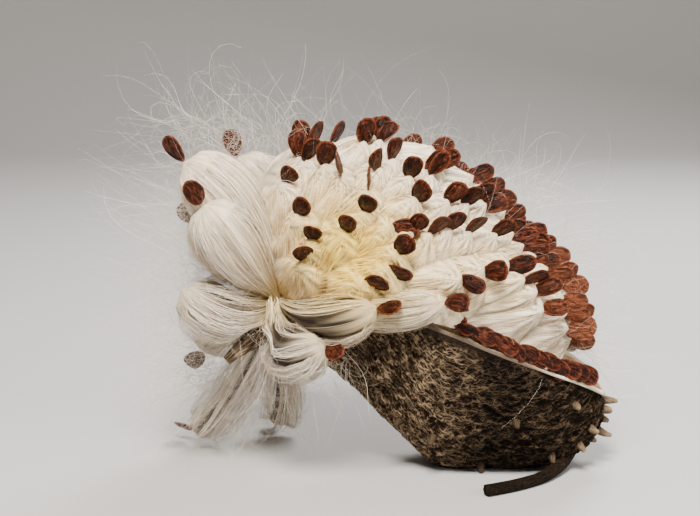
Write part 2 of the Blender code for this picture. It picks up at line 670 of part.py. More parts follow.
def row_places(share, side, draw):
    """One row: bunches of seeds that overlap at the blunt end, opening to single seeds."""
    found = []
    angle = math.radians(ROW_START + 5.0 * draw.random())
    end = math.radians(ROW_END - ROW_SHORTENING * (1 - share) * 2.0)
    step = 0
    while angle < end:
        along = (math.degrees(angle) - CLOSE_END) / (WIDE_START - CLOSE_END)
        opening = min(1.0, max(0.0, along))
        bunch = max(1, round((LARGEST_BUNCH - 4.0 * (1 - share)) * (1 - opening) + draw.uniform(-0.5, 0.8)))
        stray = draw.uniform(-0.05, 0.03) * opening
        for _ in range(bunch):
            rest = min(1.0, share + stray)
            place, out = row_point(rest, angle, side)
            ahead = row_point(rest, angle + 0.02, side)[0]
            way = way_of_seed(place, out)
            way = (way + Vector([0.2 * opening * draw.uniform(-1, 1) for _ in range(3)])).normalized()
            face = (ahead - place).normalized().cross(way) * side
            face = face * (1 - opening) + Vector((0.0, float(side), 0.3)) * opening
            step += 1
            twist = (ZIGZAG if step % 2 else -ZIGZAG) + 28.0 * opening * draw.gauss(0.0, 1.0)
            if place.z > rim_height(place.x) + LEAST_ABOVE_RIM:
                found.append((place, seed_frame(place, way, face, twist)))
            angle += CLOSE_SPACING / (share * dome_reach(angle))
        gap = NARROW_GAP + (WIDE_GAP - NARROW_GAP) * opening + INNER_GAP * (1 - share)
        angle += gap / (share * dome_reach(angle))
    return found


def single_places():
    """The seeds that stand alone over the front of the dome, each on its own tuft."""
    found = []
    for x, z, lean, forward, twist in SINGLES:
        angle = math.atan2(z - DOME_MIDDLE[2], x - DOME_MIDDLE[0])
        share = math.hypot(x - DOME_MIDDLE[0], z - DOME_MIDDLE[2]) / dome_reach(angle)
        lean, forward = math.radians(lean), math.radians(forward)
        way = Vector((math.cos(lean) * math.cos(forward), -math.sin(forward), math.sin(lean) * math.cos(forward)))
        place = dome_point(min(share, 0.995), angle, -1)
        found.append((place, seed_frame(place, way, Vector((0.0, -1.0, 0.3)), twist)))
    return found


def dome_places(draw):
    """The seeds over the dome, front and back. Those of the outline stand on both."""
    found = single_places()
    for share in ROW_SHARES:
        for side in (-1, 1):
            if share < 1.0 and side == 1 or side == -1 and share >= FRONT_ROW_LEAST:
                found += row_places(share, side, draw)
    return found


def rim_places():
    """The rows of shingled seeds that still lie along both rims."""
    found = []
    for side in (-1, 1):
        for k in range(RIM_SEEDS):
            share = RIM_FROM + (RIM_TO - RIM_FROM) * k / (RIM_SEEDS - 1)
            place = husk_point(share, float(side)) + Vector((0.0, -side * RIM_INSET, RIM_LIFT))
            way = Vector((0.86, side * 0.05, -0.5))
            face = Vector((0.25, float(side), 0.25))
            found.append((None, seed_frame(place, way, face, ZIGZAG if k % 2 else -ZIGZAG)))
    return found


def tuft_places(draw):
    """The seeds at the tips of the loosened tufts."""
    found = []
    for tip, _, _, seeded in TUFTS:
        if not seeded:
            continue
        place = Vector(tip)
        way = place - Vector(KNOT)
        if place.z < SEED_LENGTH:
            way.z = 0.0
        face = Vector((0.0, -1.0 if tip[1] < 0 else 1.0, 0.3))
        found.append((None, seed_frame(place, way, face, draw.gauss(0.0, 22.0))))
    return found


def seed_places():
    """(peak of floss, frame of its seed) for the dome, and for every seed, with no peak for most."""
    draw = random.Random(DRAW_SEED)
    dome = dome_places(draw)
    return dome, dome + rim_places() + tuft_places(draw)


def seed_object(name, frame, grown=0.0):
    points, faces = seed_shape(grown)
    thing = mesh_object(name, [frame @ p for p in points], faces)
    outwards(thing)
    return thing


def bodies_of(frames):
    """The seeds' frames in groups that hold together: the largest first, then those at the front."""
    points, faces = seed_shape()
    trees = [BVHTree.FromPolygons([frame @ point for point in points], faces) for frame in frames]
    group = list(range(len(frames)))
    for a in range(len(frames)):
        for b in range(a):
            if group[a] != group[b] and trees[a].overlap(trees[b]):
                old, new = group[a], group[b]
                group = [new if g == old else g for g in group]
    found = [[f for f, g in zip(frames, group) if g == wanted] for wanted in sorted(set(group))]
    return sorted(found, key=lambda body: (-len(body), body[0].translation.y))


def make_seeds(bodies):
    """One brown body for each seed or bunch of overlapping seeds."""
    brown = painted("seed", (0.17, 0.065, 0.035), 0.45)
    for k, frames in enumerate(bodies):
        name = f"seeds_{k + 1:02d}"
        first, *others = [seed_object(name, frame) for frame in frames]
        if others:
            combined(first, others, "UNION")
        paint_over(first, brown)


def main():
    clear_scene()
    dome, places = seed_places()
    make_husk()
    make_placenta()
    bodies = bodies_of([frame for _, frame in places])
    brown, white = bodies[:MOST_SEED_NODES], bodies[MOST_SEED_NODES:]
    make_seeds(brown)
    white_seeds = [seed_object("white_seed", frame) for body in white for frame in body]
    rooms = [seed_object("seed_room", frame, GAP) for body in brown for frame in body]
    make_floss(dome, white_seeds, [*husk_rooms(), placenta_room(), floor_block(), *rooms])


main()
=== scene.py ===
"""The looks of a ripe milkweed pod that lies on its belly: a shaggy husk, a papery placenta, silky
floss in combed tufts that hang from the seeds, and flat brown seeds with raised margins.

Lengths are in millimetres and MM turns them into metres. +X is the blunt end of the pod, -X its
beak, +Z up, and the front is at -Y. The first section repeats the forms of the solids.
"""

import json
import math
import random

import bpy
import numpy as np
from mathutils import Matrix, Vector
from mathutils.bvhtree import BVHTree

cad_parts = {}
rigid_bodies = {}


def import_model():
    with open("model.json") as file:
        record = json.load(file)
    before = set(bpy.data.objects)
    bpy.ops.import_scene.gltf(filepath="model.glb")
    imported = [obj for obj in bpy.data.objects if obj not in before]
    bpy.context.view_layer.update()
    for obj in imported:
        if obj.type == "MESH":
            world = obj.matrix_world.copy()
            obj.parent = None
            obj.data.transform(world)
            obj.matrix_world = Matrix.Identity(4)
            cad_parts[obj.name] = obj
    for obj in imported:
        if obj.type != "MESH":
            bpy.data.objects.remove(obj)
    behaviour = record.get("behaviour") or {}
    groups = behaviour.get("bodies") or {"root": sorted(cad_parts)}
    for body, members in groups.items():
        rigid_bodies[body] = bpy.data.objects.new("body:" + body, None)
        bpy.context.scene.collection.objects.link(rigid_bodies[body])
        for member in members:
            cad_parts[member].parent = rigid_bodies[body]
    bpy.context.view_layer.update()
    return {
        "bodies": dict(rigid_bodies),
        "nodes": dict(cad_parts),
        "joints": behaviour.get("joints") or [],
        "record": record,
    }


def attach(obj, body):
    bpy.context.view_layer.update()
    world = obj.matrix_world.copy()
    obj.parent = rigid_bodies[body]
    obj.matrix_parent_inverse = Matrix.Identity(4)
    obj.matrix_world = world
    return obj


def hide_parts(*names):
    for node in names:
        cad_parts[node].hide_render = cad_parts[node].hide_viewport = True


MM = 0.001
DRAW_SEED = 11

# Forms of the solids

# Husk: (x, height of keel, height of rim, half width) from the blunt end to the beak.
HUSK_STATIONS = (
    (33.5, 15.5, 17.0, 0.4),
    (31.0, 8.0, 20.5, 9.5),
    (25.0, 2.2, 24.5, 15.5),
    (15.0, -0.6, 29.0, 19.8),
    (3.0, -0.6, 34.0, 21.8),
    (-9.0, 0.0, 39.0, 21.6),
    (-20.0, 10.0, 42.0, 19.0),
    (-32.0, 22.0, 43.5, 14.0),
    (-43.0, 29.5, 42.0, 8.5),
    (-51.0, 34.0, 37.0, 3.0),
)
WALL = 1.4
INNER_SHARE = 0.965
LIP_FLARE = 1.1
BEAK_PATH = (
    (-45.5, -0.5, 34.6),
    (-50.0, -5.0, 36.4),
    (-54.5, -9.5, 35.0),
    (-58.5, -12.0, 32.4),
    (-61.5, -12.8, 29.8),
)
BEAK_RADII = (2.2, 3.0, 2.6, 1.7, 0.7)
STALK_PATH = (
    (24.0, -3.0, 4.2),
    (21.5, -9.5, 2.6),
    (16.5, -16.5, 1.5),
    (9.5, -22.5, 1.45),
    (1.5, -27.0, 1.45),
)
STALK_RADII = (2.3, 1.7, 1.5, 1.45, 1.5)
SPINE_COUNT = 28
SPINE_LENGTH = 3.6
SPINE_RADIUS = 0.95

PLACENTA_PATH = (
    (21.0, 0.0, 16.5),
    (4.0, 0.0, 21.5),
    (-16.0, 0.0, 28.5),
    (-36.0, -1.5, 36.0),
    (-50.5, -5.0, 42.5),
)
PLACENTA_RADII = (2.2, 3.2, 3.0, 2.2, 1.1)
KNOT = (-49.0, -3.0, 43.0)

# Floss dome, as seen from the front: its middle, and its reach every 20 degrees from +X upwards.
DOME_MIDDLE = (-15.0, 0.0, 45.0)
DOME_REACH = (
    (37.0, 31.0, 28.0, 30.0, 34.0, 38.0)
    + (44.0, 50.0, 44.0, 35.0, 30.0, 28.0)
    + (27.0, 32.0, 40.5, 46.0, 47.0, 41.5)
)
REACH_STEP = 20.0
DOME_THICKNESS = 27.0
DOME_THINNING = 11.0
THINNING_START, THINNING_RUN = -22.0, 45.0
DOME_WAIST = 0.75
WAIST_LOW, WAIST_HIGH = 34.0, 54.0
CORE_SHARE = 0.945

# Loosened tufts: (tip, sag of the middle, radius, whether it still has its seed).
TUFTS = (
    ((-71.5, -8.0, 78.0), (2.0, -2.0, 4.0), 8.2, True),
    ((-66.0, -19.0, 69.5), (-1.0, -3.0, 1.0), 8.0, True),
    ((-72.0, -12.0, 47.5), (0.0, -3.0, -4.0), 8.6, False),
    ((-37.0, -25.0, 37.2), (-3.5, -4.0, -6.5), 7.2, True),
    ((-25.0, -26.5, 46.5), (-1.0, -6.0, -3.0), 5.8, True),
    ((-9.5, -26.0, 47.5), (3.0, -5.0, -1.0), 5.2, True),
    ((-72.0, 15.0, 4.0), (-2.0, 3.0, -8.0), 6.6, True),
    ((-51.0, 25.0, 4.0), (1.0, 5.0, -8.5), 6.2, True),
    ((-60.0, 13.0, 76.5), (3.0, 5.0, 2.0), 8.6, True),
    ((-71.0, 14.0, 59.5), (0.0, 4.0, 2.0), 8.4, True),
    ((-69.0, 11.0, 26.0), (-2.0, 3.0, 1.0), 7.0, True),
    ((-37.0, 26.0, 37.0), (-5.0, 5.0, -5.0), 8.0, True),
    ((-19.0, 26.5, 46.5), (0.0, 6.0, -3.0), 6.6, True),
)
TUFT_TIP = 1.1

# Locks of bare floss that fly out: (tip, sag of the middle).
LOCKS = (
    ((-88.0, -2.0, 60.0), (2.0, 0.0, 7.0)),
    ((-87.0, 8.0, 38.0), (3.0, 0.0, 5.0)),
    ((-84.0, 20.0, 12.0), (-2.0, 0.0, 7.0)),
    ((-80.0, 10.0, 92.0), (6.0, 0.0, 3.0)),
    ((-58.0, 20.0, 96.0), (-4.0, 0.0, 4.0)),
    ((-28.0, 24.0, 90.0), (0.0, 4.0, 5.0)),
    ((12.0, 26.0, 74.0), (2.0, 5.0, 3.0)),
    ((37.0, 20.0, 46.0), (3.0, 3.0, 2.0)),
    ((40.0, 10.0, 30.0), (0.0, 2.0, 5.0)),
    ((-76.0, 26.0, 68.0), (2.0, 3.0, 5.0)),
    ((-63.0, 2.0, 3.5), (-6.0, 0.0, 0.0)),
)
KNOT_LOCKS = -45.0  # locks whose tips are further left than this come from the knot
LOOSE_LOCKS = 30  # smaller locks that stand out all round the head
LOOSE_FROM, LOOSE_TO = -24.0, 226.0  # degrees about the dome's middle
LOOSE_REACH = 12.0  # past the outline of the dome
LOOSE_REACH_MORE = 8.0  # longer than that on the beak's side
LOOSE_DEPTH = 15.0  # how far to the front and to the back they start
LOOSE_LOWEST, LOOSE_HIGHEST = 4.0, 103.0

# Seeds.
SEED_LENGTH = 7.3
SEED_WIDTH = 4.9
SEED_STAND = 0.4
ROW_SHARES = (1.0, 0.965, 0.89, 0.78, 0.65, 0.5)
ROW_START, ROW_END = -30.0, 132.0
ROW_SHORTENING = 26.0
CLOSE_END, WIDE_START = 30.0, 85.0
CLOSE_SPACING = 3.8
LARGEST_BUNCH = 5
ZIGZAG = 13.0
NARROW_GAP, WIDE_GAP = 3.0, 10.5
INNER_GAP = 9.0
FRONT_ROW_LEAST = 0.95  # nearer the knot than this, the front has the single seeds below instead
SINGLES = (  # (x, z of the narrow end, lean from +X upwards, turn to the front, twist from face on)
    (-42.5, 78.5, 63, 17, 40),
    (-37.5, 77.5, 83, 28, 10),
    (-33.0, 75.5, 105, 28, 75),
    (-47.5, 73.5, 56, 45, 15),
    (-44.0, 66.0, 68, 42, 0),
    (-40.5, 60.5, 81, 50, 0),
    (-42.5, 55.5, 86, 50, 10),
    (-33.0, 63.5, 67, 48, 0),
    (-28.0, 68.0, 72, 48, 0),
    (-27.0, 72.5, 88, 25, 88),
    (-24.5, 77.0, 101, 38, 35),
    (-28.5, 82.0, 74, 5, 15),
    (-21.5, 78.5, 79, 20, 45),
    (-17.5, 75.0, 72, 30, 10),
    (-16.5, 70.5, 56, 42, 0),
    (-12.5, 75.5, 62, 14, 60),
    (-22.5, 65.0, -3, 15, 25),
    (-17.0, 64.0, 57, 40, 20),
    (-21.0, 59.0, 48, 38, 10),
    (-23.0, 56.0, -18, 20, 55),
    (-28.5, 52.5, -3, 28, 50),
    (-10.0, 47.5, -16, 8, 85),
    (-9.0, 69.5, 50, 17, 30),
    (-4.5, 68.5, 50, 25, 40),
    (-13.0, 63.0, 48, 25, 55),
    (-8.5, 63.5, 61, 35, 35),
    (-4.0, 62.5, 48, 25, 60),
    (2.5, 61.0, 42, 25, 45),
    (-0.5, 54.0, 13, 35, 0),
    (5.5, 54.0, 18, 12, 30),
    (-6.0, 53.0, -18, 25, 35),
    (9.5, 50.5, 27, 16, 60),
    (12.5, 47.5, 26, 10, 35),
    (10.5, 57.5, 22, 16, 40),
    (14.5, 43.5, 8, 15, 20),
)
RIM_SEEDS = 14
RIM_FROM, RIM_TO = 0.25, 0.565  # along the husk
RIM_LIFT = 3.8
RIM_INSET = 1.5
LEAST_ABOVE_RIM = 7.0


def between(before, a, b, after, t):
    """The value at share t of the way from a to b on a smooth curve through all four."""
    leaving, arriving = (b - before) / 2, (after - a) / 2
    climb = 3 * (b - a) - 2 * leaving - arriving
    return a + t * leaving + t * t * climb + t**3 * (2 * (a - b) + leaving + arriving)


def smooth_through(stations, share):
    """The point at this share of the way along a smooth curve through the stations."""
    rows = np.asarray(stations, float)
    last = len(rows) - 1
    place = min(max(share, 0.0), 1.0) * last
    k = min(int(place), last - 1)
    return between(rows[max(k - 1, 0)], rows[k], rows[k + 1], rows[min(k + 2, last)], place - k)


def husk_point(share, across, wall=0.0):
    """A point of the husk's wall: share runs from the blunt end to the beak, across from -1 at the
    front rim through 0 at the keel to 1 at the back rim. A wall moves the point inwards."""
    x, keel, rim, half = smooth_through(HUSK_STATIONS, share)
    half = max(half - wall, half * 0.3)
    keel = keel + min(wall, 0.4 * (rim - keel))
    turn = across * math.pi / 2
    lip = LIP_FLARE * max(0.0, (abs(across) - 0.86) / 0.14) ** 2 * min(1.0, half / 8)
    y = half * math.sin(turn) + math.copysign(lip, across)
    return Vector((x, y, keel + (rim - keel) * (1 - math.cos(turn))))


def rim_height(x):
    """Height of the rim at that place along the pod."""
    xs, _, rims, _ = zip(*reversed(HUSK_STATIONS))
    return float(np.interp(x, xs, rims))


def dome_reach(angle):
    """How far the dome reaches from its middle at this angle in the front view, in radians."""
    place = (math.degrees(angle) % 360.0) / REACH_STEP
    k = int(place)
    return between(*(DOME_REACH[(k + i) % len(DOME_REACH)] for i in (-1, 0, 1, 2)), place - k)


def dome_point(share, angle, side, scale=1.0):
    """A point of the dome: share of the way from its middle to its outline as seen from the front,
    on the front where side is -1 and on the back where it is 1."""
    reach = share * dome_reach(angle) * scale
    x = DOME_MIDDLE[0] + reach * math.cos(angle)
    z = DOME_MIDDLE[2] + reach * math.sin(angle)
    thin = min(1.0, max(0.0, (THINNING_START - x) / THINNING_RUN))
    thickness = DOME_THICKNESS - DOME_THINNING * thin * thin * (3 - 2 * thin)
    rise = min(1.0, max(0.0, (z - WAIST_LOW) / (WAIST_HIGH - WAIST_LOW)))
    thickness *= DOME_WAIST + (1 - DOME_WAIST) * rise * rise * (3 - 2 * rise)
    y = side * scale * thickness * math.sqrt(max(0.0, 1 - share**2.3))
    return Vector((x, y, z))


def dome_way_out(share, angle, side):
    """The dome's outward normal there."""
    step = 0.02
    inner = min(share, 1 - step)
    along = dome_point(inner + step, angle, side) - dome_point(max(inner - step, 0.0), angle, side)
    around = dome_point(inner, angle + step, side) - dome_point(inner, angle - step, side)
    out = along.cross(around).normalized()
    away = dome_point(share, angle, side) - Vector(DOME_MIDDLE)
    return out if out.dot(away) > 0 else -out


def bent_path(tip, root, sag, count):
    """Points from tip to root on a curve whose middle is moved by sag."""
    tip, root, sag = Vector(tip), Vector(root), Vector(sag)
    shares = [k / (count - 1) for k in range(count)]
    return [tip.lerp(root, s) + sag * (4 * s * (1 - s)) for s in shares]


def tuft_radius(share, radius):
    """A tuft is pinched at its seed, swells at once and draws in again to its root."""
    return max(radius * math.sin(math.pi * min(share, 0.985) ** 0.62) ** 0.75, TUFT_TIP)


def loose_locks():
    """(tip, sag) of the smaller locks, spread round the outline of the head by a rule."""
    draw = random.Random(DRAW_SEED)
    found = []
    for k in range(LOOSE_LOCKS):
        angle = math.radians(LOOSE_FROM + (LOOSE_TO - LOOSE_FROM) * k / (LOOSE_LOCKS - 1))
        depth = math.sin(2.4 * k)
        heading = angle + draw.uniform(-0.3, 0.3)
        way = Vector((math.cos(heading), 0.4 * depth, math.sin(heading)))
        reach = (LOOSE_REACH + LOOSE_REACH_MORE * max(0.0, -math.cos(angle))) * draw.uniform(0.8, 1.15)
        tip = dome_point(1.0, angle, 1) + Vector((0.0, LOOSE_DEPTH * depth, 0.0)) + way * reach
        tip.z = min(max(tip.z, LOOSE_LOWEST), LOOSE_HIGHEST)
        found.append((tip, Vector([draw.uniform(-3.0, 3.0) for _ in range(3)])))
    return found


def seed_frame(place, way, face, twist):
    """Where a seed stands: its narrow end near place, its length along way, turned round by twist."""
    way = way.normalized()
    face = (face - way * face.dot(way)).normalized()
    stand = Matrix((way, face.cross(way), face)).transposed().to_4x4()
    stand.translation = place + way * SEED_STAND
    return stand @ Matrix.Rotation(math.radians(twist), 4, "X")


def way_of_seed(place, out):
    """A seed points out of the floss and away from the knot."""
    flow = place - Vector(KNOT)
    flow = (flow - out * flow.dot(out)).normalized()
    return (out * 0.72 + flow * 0.62).normalized()


def row_point(share, angle, side):
    """A point of the row that is this share of the way from the knot to the outline of the dome,
    and the dome's outward normal there."""
    edge = dome_point(1.0, angle, side)
    x = KNOT[0] + share * (edge.x - KNOT[0]) - DOME_MIDDLE[0]
    z = KNOT[2] + share * (edge.z - KNOT[2]) - DOME_MIDDLE[2]
    turn = math.atan2(z, x)
    rest = math.hypot(x, z) / dome_reach(turn)
    return dome_point(min(rest, 0.995), turn, side), dome_way_out(min(rest, 0.97), turn, side)


def row_places(share, side, draw):
    """One row: bunches of seeds that overlap at the blunt end, opening to single seeds."""
    found = []
    angle = math.radians(ROW_START + 5.0 * draw.random())
    end = math.radians(ROW_END - ROW_SHORTENING * (1 - share) * 2.0)
    step = 0
    while angle < end:
        along = (math.degrees(angle) - CLOSE_END) / (WIDE_START - CLOSE_END)
        opening = min(1.0, max(0.0, along))
        bunch = max(1, round((LARGEST_BUNCH - 4.0 * (1 - share)) * (1 - opening) + draw.uniform(-0.5, 0.8)))
        stray = draw.uniform(-0.05, 0.03) * opening
        for _ in range(bunch):
            rest = min(1.0, share + stray)
            place, out = row_point(rest, angle, side)
            ahead = row_point(rest, angle + 0.02, side)[0]
            way = way_of_seed(place, out)
            way = (way + Vector([0.2 * opening * draw.uniform(-1, 1) for _ in range(3)])).normalized()
            face = (ahead - place).normalized().cross(way) * side
            face = face * (1 - opening) + Vector((0.0, float(side), 0.3)) * opening
            step += 1
            twist = (ZIGZAG if step % 2 else -ZIGZAG) + 28.0 * opening * draw.gauss(0.0, 1.0)
            if place.z > rim_height(place.x) + LEAST_ABOVE_RIM:
                found.append((place, out, seed_frame(place, way, face, twist)))
            angle += CLOSE_SPACING / (share * dome_reach(angle))
        gap = NARROW_GAP + (WIDE_GAP - NARROW_GAP) * opening + INNER_GAP * (1 - share)
        angle += gap / (share * dome_reach(angle))
    return found


def single_places():
    """The seeds that stand alone over the front of the dome, each on its own tuft."""
    found = []
    for x, z, lean, forward, twist in SINGLES:
        angle = math.atan2(z - DOME_MIDDLE[2], x - DOME_MIDDLE[0])
        share = math.hypot(x - DOME_MIDDLE[0], z - DOME_MIDDLE[2]) / dome_reach(angle)
        lean, forward = math.radians(lean), math.radians(forward)
        level = math.cos(forward)
        way = Vector((math.cos(lean) * level, -math.sin(forward), math.sin(lean) * level))
        place = dome_point(min(share, 0.995), angle, -1)
        out = dome_way_out(min(share, 0.97), angle, -1)
        found.append((place, out, seed_frame(place, way, Vector((0.0, -1.0, 0.3)), twist)))
    return found


def dome_places(draw):
    """The seeds over the dome, front and back. Those of the outline stand on both."""
    found = single_places()
    for share in ROW_SHARES:
        for side in (-1, 1):
            if share < 1.0 and side == 1 or side == -1 and share >= FRONT_ROW_LEAST:
                found += row_places(share, side, draw)
    return found


def rim_places():
    """The rows of shingled seeds that still lie along both rims."""
    found = []
    for side in (-1, 1):
        for k in range(RIM_SEEDS):
            share = RIM_FROM + (RIM_TO - RIM_FROM) * k / (RIM_SEEDS - 1)
            place = husk_point(share, float(side)) + Vector((0.0, -side * RIM_INSET, RIM_LIFT))
            way = Vector((0.86, side * 0.05, -0.5))
            face = Vector((0.25, float(side), 0.25))
            found.append(seed_frame(place, way, face, ZIGZAG if k % 2 else -ZIGZAG))
    return found


def tuft_places(draw):
    """The seeds at the tips of the loosened tufts."""
    found = []
    for tip, _, _, seeded in TUFTS:
        if not seeded:
            continue
        place = Vector(tip)
        way = place - Vector(KNOT)
        if place.z < SEED_LENGTH:
            way.z = 0.0
        face = Vector((0.0, -1.0 if tip[1] < 0 else 1.0, 0.3))
        found.append(seed_frame(place, way, face, draw.gauss(0.0, 22.0)))
    return found


# Mesh and noise tools

# Large numbers that spread the noise's values evenly.
SCATTER = (374761393, 668265263, 974634777)
SEED_SCATTER = 144665
STIR = 1274126177


def piece(name, points, faces, paint, attributes=()):
    """A smooth mesh piece that rides on the pod. The points are in millimetres."""
    mesh = bpy.data.meshes.new(name)
    mesh.from_pydata((np.asarray(points, float) * MM).tolist(), [], faces)
    mesh.shade_smooth()
    for label, values in attributes:
        kind = "FLOAT_VECTOR" if np.ndim(values) == 2 else "FLOAT"
        field = "vector" if kind == "FLOAT_VECTOR" else "value"
        made = mesh.attributes.new(label, kind, "POINT")
        made.data.foreach_set(field, np.asarray(values, np.float32).ravel())
    mesh.materials.append(paint)
    thing = bpy.data.objects.new(name, mesh)
    bpy.context.scene.collection.objects.link(thing)
    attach(thing, "root")
    return thing


def grid_faces(rows, columns, wrap=False):
    """Quads of a grid of points, row after row. With wrap the last column meets the first."""
    across = np.arange(columns if wrap else columns - 1)
    r, c = np.meshgrid(np.arange(rows - 1) * columns, across, indexing="ij")
    following = (c + 1) % columns
    quads = np.stack([r + c, r + following, r + columns + following, r + columns + c], -1)
    return quads.reshape(-1, 4).tolist()


def tube_faces(rings, sides, flipped=False):
    """Faces of a tube of rings that is closed at both ends."""
    first, last = tuple(range(sides)), tuple(range((rings - 1) * sides, rings * sides))
    caps = [first[::-1], last] if flipped else [first, last[::-1]]
    return grid_faces(rings, sides, wrap=True) + caps


def joined(parts):
    """Points and faces of one mesh from the (points, faces) of its parts."""
    points, faces, base = [], [], 0
    for made, sides in parts:
        points.append(made)
        faces += [tuple(i + base for i in side) for side in sides]
        base += len(made)
    return np.concatenate(points), faces


def gathered(labels, rows):
    """Attributes with these labels from one row of values for each part."""
    return [(label, np.concatenate(values)) for label, values in zip(labels, zip(*rows))]


def above_floor(points, least):
    """The points, each at least that high."""
    points[..., 2] = np.maximum(points[..., 2], least)
    return points


def at(x, y, z=0.0):
    """Points from their coordinates. Each is an array, or one number for all of them."""
    return np.stack(np.broadcast_arrays(x, y, z), -1)


def bowed(start, bend, end, shares):
    """Points at these shares of the way along a curve that is drawn towards bend."""
    return start * (1 - shares) ** 2 + bend * 2 * shares * (1 - shares) + end * shares**2


def lattice(cell, seed):
    """A fixed random value from -1 to 1 for each whole-numbered cell."""
    n = sum(cell[..., axis] * SCATTER[axis] for axis in range(3)) + seed * SEED_SCATTER
    n = n & 0xFFFFFFFF
    n = ((n ^ (n >> 13)) * STIR) & 0xFFFFFFFF
    return ((n ^ (n >> 16)) & 0xFFFF) / 32767.5 - 1.0


def noise(points, seed=0):
    """Smooth noise from -1 to 1 with features about one unit across."""
    points = np.asarray(points, float)
    cell = np.floor(points).astype(np.int64)
    part = points - cell
    part = part * part * (3 - 2 * part)
    total = np.zeros(points.shape[:-1])
    for corner in np.ndindex(2, 2, 2):
        step = np.array(corner)
        weight = np.prod(np.where(step == 1, part, 1 - part), axis=-1)
        total += weight * lattice(cell + step, seed)
    return total


def smoothstep(low, high, value):
    """From 0 at low to 1 at high, with a gentle start and end."""
    t = np.clip((value - low) / (high - low), 0.0, 1.0)
    return t * t * (3 - 2 * t)


def unit(vectors):
    return vectors / np.maximum(np.linalg.norm(vectors, axis=-1, keepdims=True), 1e-9)


def curve_frames(path):
    """Two directions square to a path at each of its points, which turn without a jump."""
    path = np.asarray(path, float)
    along = unit(np.gradient(path, axis=0))
    side = np.cross(along[0], (0.0, 0.0, 1.0))
    side = side if np.linalg.norm(side) > 0.1 else np.cross(along[0], (0.0, 1.0, 0.0))
    sides = []
    for way in along:
        side = side - way * np.dot(side, way)
        side = side / np.linalg.norm(side)
        sides.append(side)
    sides = np.array(sides)
    return sides, np.cross(along, sides)


# Materials

YELLOW = (1.0, 0.79, 0.13)
WHITE, BLACK = (1.0, 1.0, 1.0), (0.0, 0.0, 0.0)
# Hairs over the dome, along the tufts and flying free: name of the material and its shades.
HAIR_SHADES = (
    ("floss_hair", (0.5, (0.66, 0.50, 0.32)), (0.62, (0.94, 0.80, 0.63)), (0.85, (1.0, 0.88, 0.75))),
    ("floss_tuft_hair", (0.5, (0.50, 0.42, 0.33)), (0.68, (0.93, 0.85, 0.76)), (0.9, (1.0, 0.95, 0.89))),
    ("floss_wisp", (0.5, (0.62, 0.54, 0.48)), (0.9, (0.94, 0.89, 0.84))),
)


class Paint:
    """A node material being built. Each method adds to it and gives the new output."""

    def __init__(self, name, roughness):
        self.material = bpy.data.materials.new(name)
        self.material.use_nodes = True
        self.tree = self.material.node_tree
        self.shader = self.tree.nodes["Principled BSDF"]
        self.shader.inputs["Roughness"].default_value = roughness

    def put(self, socket, value):
        if isinstance(value, bpy.types.NodeSocket):
            self.tree.links.new(value, socket)
        else:
            socket.default_value = value

    def add(self, kind, output, inputs, **settings):
        made = self.tree.nodes.new(kind)
        for key, value in settings.items():
            setattr(made, key, value)
        for key, value in inputs.items():
            self.put(made.inputs[key], value)
        return made.outputs[output]

    def attribute(self, name, output="Fac"):
        return self.add("ShaderNodeAttribute", output, {}, attribute_name=name)

    def place(self):
        return self.add("ShaderNodeTexCoord", "Object", {})

    def mapped(self, vector, scale):
        return self.add("ShaderNodeMapping", "Vector", {"Vector": vector, "Scale": scale})

    def noise(self, vector, scale, detail=3.0, roughness=0.55, distortion=0.0, output="Fac"):
        inputs = {"Vector": vector, "Scale": scale, "Detail": detail}
        inputs |= {"Roughness": roughness, "Distortion": distortion}
        return self.add("ShaderNodeTexNoise", output, inputs)

    def warped(self, vector, scale, reach):
        """The vector, moved about smoothly by up to that reach."""
        moved = self.noise(vector, scale, 2.0, 0.5, output="Color")
        inputs = {0: moved, 1: (reach, reach, reach), 2: vector}
        return self.add("ShaderNodeVectorMath", "Vector", inputs, operation="MULTIPLY_ADD")

    def cracks(self, vector):
        """Distance from the edges of a net of uneven cells."""
        inputs = {"Vector": vector, "Scale": 1.0}
        return self.add("ShaderNodeTexVoronoi", "Distance", inputs, feature="DISTANCE_TO_EDGE")

    def math(self, operation, a, b, c=0.5):
        return self.add("ShaderNodeMath", "Value", {0: a, 1: b, 2: c}, operation=operation)

    def ramp(self, factor, *stops):
        made = self.tree.nodes.new("ShaderNodeValToRGB")
        self.put(made.inputs["Fac"], factor)
        elements = made.color_ramp.elements
        while len(elements) < len(stops):
            elements.new(0.5)
        for element, (place, colour) in zip(elements, stops):
            element.position = place
            element.color = (*colour, 1.0)
        return made.outputs["Color"]

    def mix(self, factor, a, b, blend="MIX"):
        a, b = ((*value, 1.0) if isinstance(value, tuple) else value for value in (a, b))
        inputs = {0: factor, 6: a, 7: b}
        return self.add("ShaderNodeMix", 2, inputs, data_type="RGBA", blend_type=blend)

    def bump(self, height, strength, distance):
        inputs = {"Height": height, "Strength": strength, "Distance": distance * MM}
        self.put(self.shader.inputs["Normal"], self.add("ShaderNodeBump", "Normal", inputs))

    def colour(self, value):
        self.put(self.shader.inputs["Base Color"], value)


